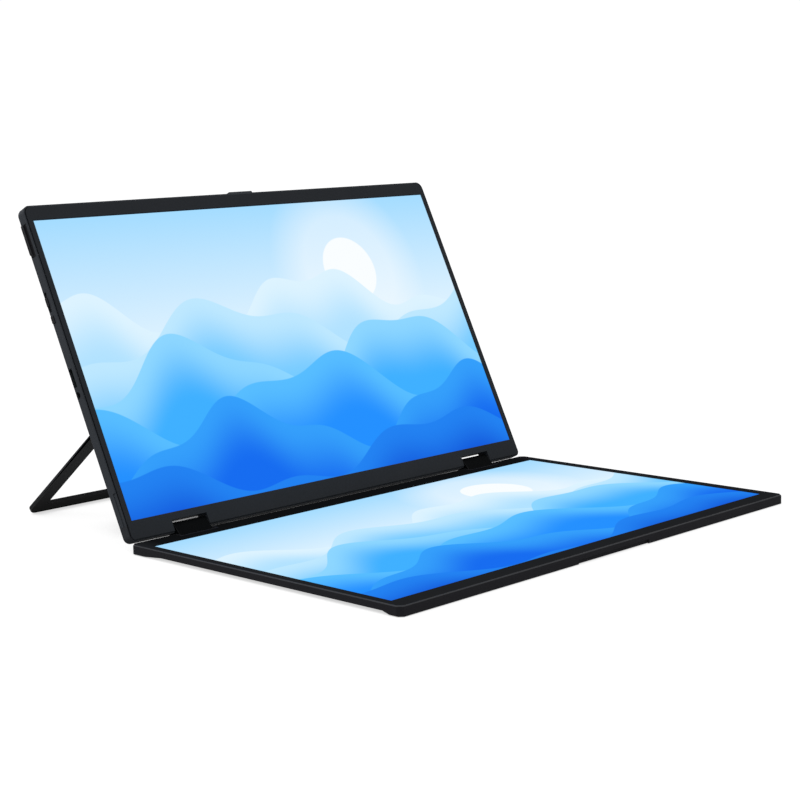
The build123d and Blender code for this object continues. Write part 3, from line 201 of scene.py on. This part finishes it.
def lit_screen(name, node, up, toward_hinge):
    """Cell surface with the picture's light; up is the way to the picture's top."""
    material, tree, place = finish_named(name)
    low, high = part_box(node)
    centre = (Vector(low) + Vector(high)) / 2 + cell_shift * toward_hinge
    turn = Matrix.Rotation(-atan2(up.z, up.y), 3, "X")
    laid_flat = {"Vector": place, "Location": -(turn @ centre), "Rotation": turn.to_euler()}
    flat = add(tree, "Mapping", laid_flat, vector_type="POINT").outputs["Vector"]
    flat_axes = add(tree, "SeparateXYZ", {"Vector": flat}).outputs
    across, height = flat_axes["X"], flat_axes["Y"]
    fall = add(tree, "MapRange", {"Value": height, 1: sky_low, 2: sky_high, 3: 0.0, 4: 1.0}).outputs["Result"]
    sky_mix = {0: fall, 6: linear(sky_tones[0]), 7: linear(sky_tones[1])}
    colour = add(tree, "Mix", sky_mix, data_type="RGBA").outputs[2]
    from_disc = add(tree, "VectorMath", {0: flat, 1: disc_spot}, operation="SUBTRACT").outputs["Vector"]
    reach = add(tree, "VectorMath", {0: from_disc}, operation="LENGTH").outputs["Value"]
    for radius, blur, strength in disc_rings:
        ring = add(tree, "MapRange", {"Value": reach, 1: radius, 2: radius + blur, 3: strength, 4: 0.0})
        ring_mix = {0: ring.outputs["Result"], 6: colour, 7: linear(disc_tone)}
        colour = add(tree, "Mix", ring_mix, data_type="RGBA").outputs[2]
    for base, long_wave, ripple, crest, foot in hills:
        line = base
        for size, length, phase in (long_wave, ripple):
            angle = add(tree, "Math", {0: across, 1: 2 * pi / length, 2: phase}, operation="MULTIPLY_ADD")
            swing = add(tree, "Math", {0: angle.outputs[0]}, operation="SINE")
            line = add(tree, "Math", {0: swing.outputs[0], 1: size, 2: line}, operation="MULTIPLY_ADD").outputs[0]
        depth = add(tree, "Math", {0: line, 1: height}, operation="SUBTRACT").outputs[0]
        haze_range = {"Value": depth, 1: 0.0, 2: haze_depth, 3: 0.0, 4: 1.0}
        haze = add(tree, "MapRange", haze_range, interpolation_type="SMOOTHSTEP").outputs["Result"]
        slope = add(tree, "Mix", {0: haze, 6: linear(crest), 7: linear(foot)}, data_type="RGBA").outputs[2]
        edge = add(tree, "MapRange", {"Value": depth, 1: -crest_blur, 2: crest_blur, 3: 0.0, 4: 1.0})
        hill_mix = {0: edge.outputs["Result"], 6: colour, 7: slope}
        colour = add(tree, "Mix", hill_mix, data_type="RGBA").outputs[2]
    lit = 1.0
    for offset, half in ((across, picture_width / 2), (height, picture_height / 2)):
        off = add(tree, "Math", {0: offset}, operation="ABSOLUTE").outputs[0]
        border = {"Value": off, 1: half, 2: half + border_blur, 3: lit, 4: 0.0}
        lit = add(tree, "MapRange", border).outputs["Result"]
    sparkle = add(tree, "TexNoise", {"Vector": place, "Scale": 1 / film_grain, "Detail": 1.0}).outputs["Fac"]
    bump = add(tree, "Bump", {"Height": sparkle, "Strength": 0.15, "Distance": film_relief}).outputs["Normal"]
    seal(
        tree,
        Base_Color=linear("#060708"),
        Roughness=0.32,
        Specular_IOR_Level=0.0,
        Emission_Color=colour,
        Emission_Strength=lit,
        Normal=bump,
    )
    return material


# Anti-glare film on glass: the picture glows evenly out to a black border, with no mirror image of the room.
# The film's 0.02 mm grain is drawn at 0.6 mm.
hinge_way = Vector((0, 1, 0))
paint(lit_screen("anti_glare_lcd_lower", "lower_lcd_cell", hinge_way, hinge_way), "lower_lcd_cell")
paint(lit_screen("anti_glare_lcd_upper", "upper_lcd_cell", rise, -rise), "upper_lcd_cell")

# Light guides: clear acrylic sheets over a white reflector film, held in a thin frame behind each cell.
# Screen printed dots scatter the light of a row of lamps along one edge.
dot_pitch = 0.002
# Printed acrylic: bright and smooth, with rows of white dots. The 0.4 mm dots are drawn 1 mm wide and 2 mm apart.
acrylic, tree, place = finish_named("dotted_acrylic")
dots = add(tree, "TexVoronoi", {"Vector": place, "Scale": 1 / dot_pitch, "Randomness": 0.0}).outputs["Distance"]
printed = add(tree, "MapRange", {"Value": dots, 1: 0.22, 2: 0.28, 3: 1.0, 4: 0.0}).outputs["Result"]
tone = add(tree, "Mix", {0: printed, 6: linear("#DDE3E6"), 7: linear("#F7F8F8")}, data_type="RGBA").outputs[2]
seal(tree, Base_Color=tone, Roughness=0.22)
paint(acrylic, "lower_backlight_unit", "upper_backlight_unit")

# Circuit boards: glass cloth and epoxy pressed into a sheet, with etched copper tracks under a solder mask.
# The main board is screwed to bosses in the upper back. The others lie behind the edges and in the front ridge.
# The rows of tracks lie a quarter of the unit apart.
track_unit = 0.006
cloth_pitch = 0.0015
cloth_relief = 0.00003
# Solder mask: dark green and half glossy, paler over the tracks. The 0.2 mm tracks are drawn 0.6 mm wide.
laminate, tree, place = finish_named("FR4_solder_mask")
track_look = {"Color1": linear("#08150E"), "Color2": linear("#0A1A11"), "Mortar": linear("#123021")}
tracks = add(tree, "TexBrick", {"Vector": place, "Scale": 1 / track_unit, "Mortar Size": 0.05, **track_look})
weave = add(tree, "TexNoise", {"Vector": place, "Scale": 1 / cloth_pitch}).outputs["Fac"]
bump = add(tree, "Bump", {"Height": weave, "Strength": 0.2, "Distance": cloth_relief}).outputs["Normal"]
seal(tree, Base_Color=tracks.outputs["Color"], Roughness=0.35, Normal=bump)
paint(laminate, "lower_driver_board", "main_board", "side_board", "usb_board")

# Chips, switches and the jack's body: small mouldings of epoxy and nylon round their metal parts.
# They are soldered to the boards.
chip_grain = 0.0006
# Black epoxy: dull and faintly speckled by its filler, which is drawn at 0.6 mm.
epoxy = moulded("black_epoxy_moulding", ("#141415", "#1C1C1D"), 0.5, 0.4, chip_grain)
paint(epoxy, "main_board_chips", "power_switch", "jog_switch", "rocker_switches", "audio_jack")

# Flat leads: tinned copper strips laid side by side between two polyester films.
# They are plugged into the boards and run along the shells to the edges and the hinge.
# One wave of the pattern is a tenth of pi of its unit.
wave_unit = 0.02
# Dark polyester film: smooth, with the strips showing through as soft lines. Their 0.5 mm pitch is drawn at 6 mm.
ribbon, tree, place = finish_named("polyester_flat_cable")
strip_waves = {"Vector": place, "Scale": 1 / wave_unit, "Distortion": 0.0}
lines = add(tree, "TexWave", strip_waves, bands_direction="X").outputs["Fac"]
tone = add(tree, "Mix", {0: lines, 6: linear("#26262A"), 7: linear("#3C3C42")}, data_type="RGBA").outputs[2]
seal(tree, Base_Color=tone, Roughness=0.4)
paint(ribbon, "lower_link_cable", "upper_link_cable", "side_board_cable", "usb_board_cable")

# Feet: strips of black silicone rubber, cut from sheet.
# Two are glued into shallow grooves under the ridges of the lower display, and one to the stand's foot.
rubber_grain = 0.0012
rubber_relief = 0.00004
# Silicone rubber: the darkest and dullest surface here, with a coarse soft grain.
rubber = moulded("black_silicone_rubber", ("#0B0B0B", "#101010"), 0.85, 0.05, rubber_grain, rubber_relief)
paint(rubber, "lower_front_foot", "lower_rear_foot", "stand_foot_strip")

# Hinge knuckles: black glass filled nylon, one in each notch, that turn on a pin in either display.
# The mould leaves their edges broken by a quarter of a millimetre.
knuckle_ease = 0.00025
sharp_angle = 0.7
bodies = {node: body for body, members in frame["record"]["behaviour"]["bodies"].items() for node in members}


def place_piece(name, shape, node, *materials):
    """Object made from a bmesh, riding with the solid that it stands for or sits on."""
    mesh = bpy.data.meshes.new(name)
    shape.to_mesh(mesh)
    shape.free()
    for material in materials:
        mesh.materials.append(material)
    piece = bpy.data.objects.new(name, mesh)
    bpy.context.scene.collection.objects.link(piece)
    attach(piece, bodies[node])
    return piece


def ease(node, width, face_finish, edge_highlight_finish):
    """Copy of a solid with its sharp outer edges rounded, in place of it; the rounded bands take the painted edge
    highlight.
    """
    shape = bmesh.new()
    shape.from_mesh(nodes[node].data)
    bmesh.ops.remove_doubles(shape, verts=shape.verts, dist=0.000001)
    bmesh.ops.dissolve_limit(shape, angle_limit=0.01, verts=shape.verts, edges=shape.edges)
    sharp = [edge for edge in shape.edges if edge.is_convex and edge.calc_face_angle(0.0) > sharp_angle]
    rounded = bmesh.ops.bevel(
        shape, geom=sharp, offset=width, segments=2, profile=0.5, affect="EDGES", material=-1, clamp_overlap=False
    )
    for band in rounded["faces"]:
        band.material_index = 1
    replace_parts(place_piece(node + "_eased", shape, node, face_finish, edge_highlight_finish), node)


# Glass filled nylon: nearly black and dull, a little smoother on its edges, with a paler tone there that is a
# painted highlight.
nylon = moulded("glass_filled_nylon", ("#060708", "#0A0B0C"), 0.75, 0.02)
nylon_edge_highlight = moulded("nylon_edge_painted_highlight", ("#0C0D0E", "#121314"), 0.5, 0.1)
sides = ("left", "right")
for side in sides:
    ease("hinge_knuckle_" + side, knuckle_ease, nylon, nylon_edge_highlight)

# Hinge steel: ground pins, split friction sleeves that grip them, and leaves pressed from sheet.
# The leaves are screwed down inside the displays, and the pins are pressed into their ears.
grind_pitch, grind_length = 0.0006, 0.01
# Ground steel: bright, streaked by fine lines that run round the pins. The 0.03 mm lines are drawn at 0.6 mm.
ground_steel, tree, place = finish_named("ground_steel")
grind = (1 / grind_pitch, 1 / grind_length, 1 / grind_length)
scratch = add(tree, "Mapping", {"Vector": place, "Scale": grind}).outputs["Vector"]
cuts = add(tree, "TexNoise", {"Vector": scratch, "Scale": 1.0, "Detail": 3.0}).outputs["Fac"]
tone = add(tree, "Mix", {0: cuts, 6: linear("#8D8E90"), 7: linear("#B4B5B7")}, data_type="RGBA").outputs[2]
gloss = add(tree, "MapRange", {"Value": cuts, 3: 0.25, 4: 0.45}).outputs["Result"]
seal(tree, Base_Color=tone, Roughness=gloss, Metallic=1.0)
for steel_piece in (
    "lower_hinge_bracket",
    "lower_hinge_pin",
    "hinge_friction_sleeves",
    "upper_hinge_bracket",
    "upper_hinge_pin",
    "stand_hinge_pin",
):
    paint(ground_steel, *[f"{steel_piece}_{side}" for side in sides])
paint(ground_steel, "rocker_axle")

# Screws: small steel screws with a cross recess, cold headed and blackened.
# A row of five holds each cover to the bosses behind the bezel, and only the heads show.
# The blocks that hold the stand's pins have the same finish.
screw_spots = (-0.166, -0.070, 0.0, 0.070, 0.166)
slot_half, slot_reach, slot_depth = 0.00024, 0.00085, 0.0004
head_radius, head_dome, head_height, head_segments = 0.0015, 0.00015, 0.0006, 24
shank_radius, shank_depth = 0.0008, 0.0036
tip_radius, tip_depth = 0.0006, 0.0038
black_grain = 0.0012
# Blackened steel: dark and half bright, with a faint cloudiness where the oil has dried.
black_steel, tree, place = finish_named("blackened_steel")
cloud = add(tree, "TexNoise", {"Vector": place, "Scale": 1 / black_grain, "Detail": 3.0}).outputs["Fac"]
tone = add(tree, "Mix", {0: cloud, 6: linear("#2A2A2B"), 7: linear("#4A4A4C")}, data_type="RGBA").outputs[2]
seal(tree, Base_Color=tone, Roughness=0.42, Metallic=1.0)
paint(black_steel, *[name for name in nodes if name.endswith("_screws") or name.startswith("stand_hinge_blocks")])
hinge_line = Vector((1, 0, 0))
facing = rise.cross(hinge_line)


def cross_head_screws(node, axis):
    """Row of cover screws in place of the plain ones; the axis runs from the shank's tip out through the head."""
    row = bmesh.new()
    aside = axis.cross(hinge_line)
    spread = [spot.co.dot(aside) for spot in nodes[node].data.vertices]
    top = max(spot.co.dot(axis) for spot in nodes[node].data.vertices)
    seat = top * axis + (min(spread) + max(spread)) / 2 * aside
    turn = Vector((0, 0, 1)).rotation_difference(axis).to_matrix().to_4x4()
    quarter = ((slot_half, slot_half), (slot_half, slot_reach), (-slot_half, slot_reach))
    profile = (
        (head_height, head_radius),
        (head_height, shank_radius),
        (shank_depth, shank_radius),
        (tip_depth, tip_radius),
    )
    for x in screw_spots:
        screw = bmesh.new()
        cross = [Matrix.Rotation(k * pi / 2, 3, "Z") @ Vector((*spot, 0.0)) for k in range(4) for spot in quarter]
        mouth = screw.faces.new([screw.verts.new(spot) for spot in cross])
        lip = list(mouth.edges)
        sunk = bmesh.ops.extrude_discrete_faces(screw, faces=[mouth])["faces"][0]
        bmesh.ops.translate(screw, vec=(0.0, 0.0, -slot_depth), verts=sunk.verts)
        bmesh.ops.bridge_loops(screw, edges=lip + list(sunk.edges))
        rim = bmesh.ops.create_circle(screw, cap_ends=False, radius=head_radius, segments=head_segments)["verts"]
        bmesh.ops.translate(screw, vec=(0.0, 0.0, -head_dome), verts=rim)
        outer = list({edge for spot in rim for edge in spot.link_edges})
        bmesh.ops.bridge_loops(screw, edges=lip + outer)
        for depth, radius in profile:
            grown = bmesh.ops.extrude_edge_only(screw, edges=outer)["geom"]
            ends = [part for part in grown if isinstance(part, bmesh.types.BMVert)]
            edges = [part for part in grown if isinstance(part, bmesh.types.BMEdge)]
            outer = [edge for edge in edges if all(end in ends for end in edge.verts)]
            for end in ends:
                end.co = Vector((*(end.co.xy.normalized() * radius), -depth))
        bmesh.ops.contextual_create(screw, geom=outer)
        bmesh.ops.recalc_face_normals(screw, faces=screw.faces)
        bmesh.ops.transform(screw, matrix=Matrix.Translation(seat + x * hinge_line) @ turn, verts=screw.verts)
        one = bpy.data.meshes.new("screw")
        screw.to_mesh(one)
        screw.free()
        row.from_mesh(one)
        bpy.data.meshes.remove(one)
    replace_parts(place_piece(node + "_cross_head", row, node, black_steel), node)


cross_head_screws("lower_cover_screws", Vector((0, 0, -1)))
cross_head_screws("hinge_cover_screws", facing)

# Support plate: aluminium sheet, cut and pressed flat.
# It is held between the upper light guide and the back of the stand's recess, and stiffens the display.
rolled_width, rolled_length = 0.0008, 0.02
# Rolled aluminium: bright grey with long fine streaks along the sheet, drawn 0.8 mm wide.
pressed, tree, place = finish_named("pressed_aluminium")
streaks = (1 / rolled_length, 1 / rolled_width, 1 / rolled_width)
grain = add(tree, "Mapping", {"Vector": place, "Scale": streaks}).outputs["Vector"]
rolled = add(tree, "TexNoise", {"Vector": grain, "Scale": 1.0, "Detail": 3.0}).outputs["Fac"]
tone = add(tree, "Mix", {0: rolled, 6: linear("#B3B5B8"), 7: linear("#CDCFD1")}, data_type="RGBA").outputs[2]
seal(tree, Base_Color=tone, Roughness=0.38, Metallic=1.0)
paint(pressed, "upper_support_plate")

# Ports: steel shells folded from sheet and soldered to the boards behind the two edges.
# Each has a tongue with a row of stamped copper contacts on either face.
plating_cloud, gold_cloud = 0.003, 0.0004
contact_length, contact_height, contact_ease = 0.0035, 0.00006, 0.00002
contacts_from_mouth = 0.0028
usb_half_pitch = 0.008
# Nickel plating: pale warm grey and bright, slightly cloudy.
plated, tree, place = finish_named("nickel_plated_steel")
cloud = add(tree, "TexNoise", {"Vector": place, "Scale": 1 / plating_cloud, "Detail": 2.0}).outputs["Fac"]
tone = add(tree, "Mix", {0: cloud, 6: linear("#8F8F8C"), 7: linear("#A9A9A5")}, data_type="RGBA").outputs[2]
gloss = add(tree, "MapRange", {"Value": cloud, 3: 0.22, 4: 0.34}).outputs["Result"]
seal(tree, Base_Color=tone, Roughness=gloss, Metallic=1.0)
paint(plated, "hdmi_receptacle", "usb_c_receptacles")
# Copper flashed with gold: warm yellow glints in the dark of the port.
gold, tree, place = finish_named("gold_flashed_copper")
cloud = add(tree, "TexNoise", {"Vector": place, "Scale": 1 / gold_cloud, "Detail": 2.0}).outputs["Fac"]
tone = add(tree, "Mix", {0: cloud, 6: linear("#B98E3C"), 7: linear("#D2AA58")}, data_type="RGBA").outputs[2]
seal(tree, Base_Color=tone, Roughness=0.28, Metallic=1.0)


def contact_rows(name, node, tongues, count, pitch, width, half_thickness):
    """Contact strips on both faces of each tongue."""
    rows = bmesh.new()
    port_axes = Matrix((hinge_line, rise, facing)).transposed().to_4x4()
    block = port_axes @ Matrix.Diagonal((contact_length, width, contact_height, 1.0))
    lift = half_thickness + contact_height / 2
    for tongue in tongues:
        for face_lift in (-lift, lift):
            for k in range(count):
                spot = tongue + rise * ((k - (count - 1) / 2) * pitch) + facing * face_lift
                bmesh.ops.create_cube(rows, size=1.0, matrix=Matrix.Translation(spot) @ block)
    bmesh.ops.bevel(
        rows, geom=list(rows.edges), offset=contact_ease, segments=1, profile=0.5, affect="EDGES", material=-1
    )
    bmesh.ops.recalc_face_normals(rows, faces=rows.faces)
    place_piece(name, rows, node, gold)


low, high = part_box("hdmi_receptacle")
tongue = (Vector(low) + Vector(high)) / 2
tongue.x = low.x + contacts_from_mouth
contact_rows("hdmi_contacts", "hdmi_receptacle", [tongue], 8, 0.001, 0.00045, 0.0003)
low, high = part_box("usb_c_receptacles")
tongue = (Vector(low) + Vector(high)) / 2
tongue.x = high.x - contacts_from_mouth
tongues = [tongue - usb_half_pitch * rise, tongue + usb_half_pitch * rise]
contact_rows("usb_c_contacts", "usb_c_receptacles", tongues, 12, 0.0005, 0.00025, 0.00035)

# Keys: three small ABS caps in the left edge, moulded with a flange or an axle hole that keeps them in.
# Each works a switch on the side board.
key_grain = 0.0008
key_ease = 0.0002
# Handled ABS: the shells' plastic in a darker grey, smoother where fingers polish it, with a paler tone along its
# edges that is a painted highlight.
key_abs = moulded("polished_key_ABS", ("#19191C", "#212124"), 0.45, 0.12, key_grain)
key_edge_highlight = moulded("key_edge_painted_highlight_ABS", ("#23252A", "#2B2E33"), 0.4, 0.2, key_grain)
for key in ("power_button", "menu_jog_key", "rocker_key"):
    ease(key, key_ease, key_abs, key_edge_highlight)

# Stand: a U-shaped frame milled from aluminium sheet, blasted and dyed dark grey in the anodising bath.
# It turns on two steel pins in blocks that are screwed into the upper back.
blast_grain, blast_relief = 0.0008, 0.00002
bath_cloud = 0.04
foot_shade_start, foot_shade_full = 0.06, 0.145
stand_ease = 0.0003
# Dyed oxide: a dull dark film that hides the metal's shine, with painted shade that darkens it toward the foot.
# The 0.1 mm pits of the blasting are drawn at 0.8 mm.
anodised, tree, place = finish_named("dark_anodised_aluminium")
blast = add(tree, "TexNoise", {"Vector": place, "Scale": 1 / blast_grain, "Detail": 2.0}).outputs["Fac"]
bath = add(tree, "TexNoise", {"Vector": place, "Scale": 1 / bath_cloud, "Detail": 3.0}).outputs["Fac"]
upper_leg = add(tree, "Mix", {0: bath, 6: linear("#343639"), 7: linear("#3B3D40")}, data_type="RGBA").outputs[2]
foot = add(tree, "Mix", {0: bath, 6: linear("#18191B"), 7: linear("#1E1F21")}, data_type="RGBA").outputs[2]
down_leg = add(tree, "SeparateXYZ", {"Vector": place}).outputs["Y"]
foot_shade = add(tree, "MapRange", {"Value": down_leg, 1: foot_shade_start, 2: foot_shade_full, 3: 0.0, 4: 1.0}).outputs["Result"]
tone = add(tree, "Mix", {0: foot_shade, 6: upper_leg, 7: foot}, data_type="RGBA").outputs[2]
gloss = add(tree, "MapRange", {"Value": blast, 1: 0.3, 2: 0.7, 3: 0.48, 4: 0.60}).outputs["Result"]
bump = add(tree, "Bump", {"Height": blast, "Strength": 0.3, "Distance": blast_relief}).outputs["Normal"]
seal(tree, Base_Color=tone, Roughness=gloss, Specular_IOR_Level=0.15, Normal=bump)
# Edge oxide: the same film along the frame's edges, smoother and in a paler tone, a painted highlight so that a
# thin line catches the light.
oxide_edge_highlight = moulded("anodised_edge_painted_highlight", ("#2A2B2D", "#343537"), 0.45, 0.3)
ease("stand_frame", stand_ease, anodised, oxide_edge_highlight)

# Floor: a sweep of white studio paper under and behind the object, lit so that it photographs as plain white.
# Its glow is dimmed by painted shade, a little where the object stands close and more in a fixed zone under the
# leaning display.
floor_half = 6.0
fibre_size = 0.02
paper_white, paper_touch, paper_spill = 0.85, 0.62, 0.12
touch_reach, lean_reach = 0.03, 0.2
lean_half, lean_side = 0.11, 0.16
lean_start, lean_full, lean_fade, lean_end = 0.006, 0.016, 0.065, 0.10
# Matte paper: even and white with a trace of fibre, and without gloss.
paper, tree, place = finish_named("white_studio_paper")
fibre = add(tree, "TexNoise", {"Vector": place, "Scale": 1 / fibre_size, "Detail": 3.0}).outputs["Fac"]
tone = add(tree, "Mix", {0: fibre, 6: linear("#7E7E7E"), 7: linear("#828282")}, data_type="RGBA").outputs[2]
# Painted shade: the glow is dimmed where nearby parts hide the sky, and more strongly in the zone under the leaning
# display.
near_sky = add(tree, "AmbientOcclusion", {"Distance": touch_reach}, samples=16).outputs["AO"]
touch_range = {"Value": near_sky, 1: 0.1, 2: 0.55, 3: paper_touch, 4: paper_white}
touch = add(tree, "MapRange", touch_range).outputs["Result"]
far_sky = add(tree, "AmbientOcclusion", {"Distance": lean_reach}, samples=16).outputs["AO"]
lean_range = {"Value": far_sky, 1: 0.40, 2: 0.56, 3: 0.0, 4: paper_white}
lean = add(tree, "MapRange", lean_range, interpolation_type="SMOOTHSTEP").outputs["Result"]
ground = add(tree, "SeparateXYZ", {"Vector": place}).outputs
off = add(tree, "Math", {0: ground["X"]}, operation="ABSOLUTE").outputs[0]
under = add(tree, "MapRange", {"Value": off, 1: lean_half, 2: lean_side, 3: 1.0, 4: 0.0}).outputs["Result"]
fade_range = {"Value": ground["Y"], 1: lean_fade, 2: lean_end, 3: under, 4: 0.0}
under = add(tree, "MapRange", fade_range).outputs["Result"]
start_range = {"Value": ground["Y"], 1: lean_start, 2: lean_full, 3: 0.0, 4: under}
under = add(tree, "MapRange", start_range).outputs["Result"]
glow = add(tree, "MapRange", {"Value": under, 3: touch, 4: lean}).outputs["Result"]
seen = add(tree, "LightPath").outputs["Is Camera Ray"]
glow = add(tree, "MapRange", {"Value": seen, 3: paper_spill, 4: glow}).outputs["Result"]
white = linear("#FFFFFF")
seal(tree, Base_Color=tone, Roughness=0.9, Specular_IOR_Level=0.0, Emission_Color=white, Emission_Strength=glow)
sweep = bmesh.new()
bmesh.ops.create_grid(sweep, x_segments=1, y_segments=1, size=floor_half)
floor_mesh = bpy.data.meshes.new("floor")
sweep.to_mesh(floor_mesh)
sweep.free()
floor_mesh.materials.append(paper)
floor = bpy.data.objects.new("floor", floor_mesh)
bpy.context.scene.collection.objects.link(floor)

# Light: a white room that is dimmer toward the front left, so that the faces on that side stay dark.
# A soft panel hangs overhead to the left, and another stands at the front.
room_level, dim_level, backdrop_level = 1.06, 0.2, 1.03
dim_way = (-0.72, -0.69, 0.1)
dim_start, dim_full = 0.55, 0.95
world = bpy.data.worlds.new("white_room")
bpy.context.scene.world = world
world.use_nodes = True
tree = world.node_tree
tree.nodes.clear()
way = add(tree, "TexCoord").outputs["Generated"]
toward = add(tree, "VectorMath", {0: way, 1: dim_way}, operation="DOT_PRODUCT").outputs["Value"]
room_range = {"Value": toward, 1: dim_start, 2: dim_full, 3: room_level, 4: dim_level}
room = add(tree, "MapRange", room_range, interpolation_type="SMOOTHSTEP").outputs["Result"]
seen = add(tree, "LightPath").outputs["Is Camera Ray"]
level = add(tree, "MapRange", {"Value": seen, 3: room, 4: backdrop_level}).outputs["Result"]
backdrop = add(tree, "Background", {"Color": white, "Strength": level})
add(tree, "OutputWorld", {"Surface": backdrop.outputs["Background"]})
for name, spot, aim, width, power in (
    ("overhead_panel", (-1.15, 0.3, 1.0), (-0.15, 0.1, 0.2), 0.9, 6.0),
    ("front_panel", (-0.9, -2.2, 1.0), (0.0, 0.0, 0.1), 1.2, 5.0),
):
    lamp = bpy.data.lights.new(name, "AREA")
    lamp.shape = "SQUARE"
    lamp.size = width
    lamp.energy = power
    panel = bpy.data.objects.new(name, lamp)
    beam = (Vector(aim) - Vector(spot)).to_track_quat("-Z", "Y").to_matrix().to_4x4()
    panel.matrix_world = Matrix.Translation(spot) @ beam
    bpy.context.scene.collection.objects.link(panel)

# Camera: a long lens from the left front, a little above the upper display's top edge.
# Its place, turn and lens are fitted to the corners of the two pictures.
yaw, pitch, roll = 0.8053, -0.1538, -0.020
camera_spot = (-0.83873, -0.84681, 0.25445)
sensor_mm, lens_mm = 36.0, 83.957
ahead = Vector((sin(yaw) * cos(pitch), cos(yaw) * cos(pitch), sin(pitch)))
right = Vector((cos(yaw), -sin(yaw), 0.0))
over = right.cross(ahead)
eye = bpy.data.cameras.new("camera")
eye.sensor_width = sensor_mm
eye.lens = lens_mm
camera = bpy.data.objects.new("camera", eye)
turned = Matrix((cos(roll) * right + sin(roll) * over, cos(roll) * over - sin(roll) * right, -ahead)).transposed()
camera.matrix_world = Matrix.Translation(camera_spot) @ turned.to_4x4()
bpy.context.scene.collection.objects.link(camera)
bpy.context.scene.camera = camera
bpy.context.scene.view_settings.view_transform = "Standard"
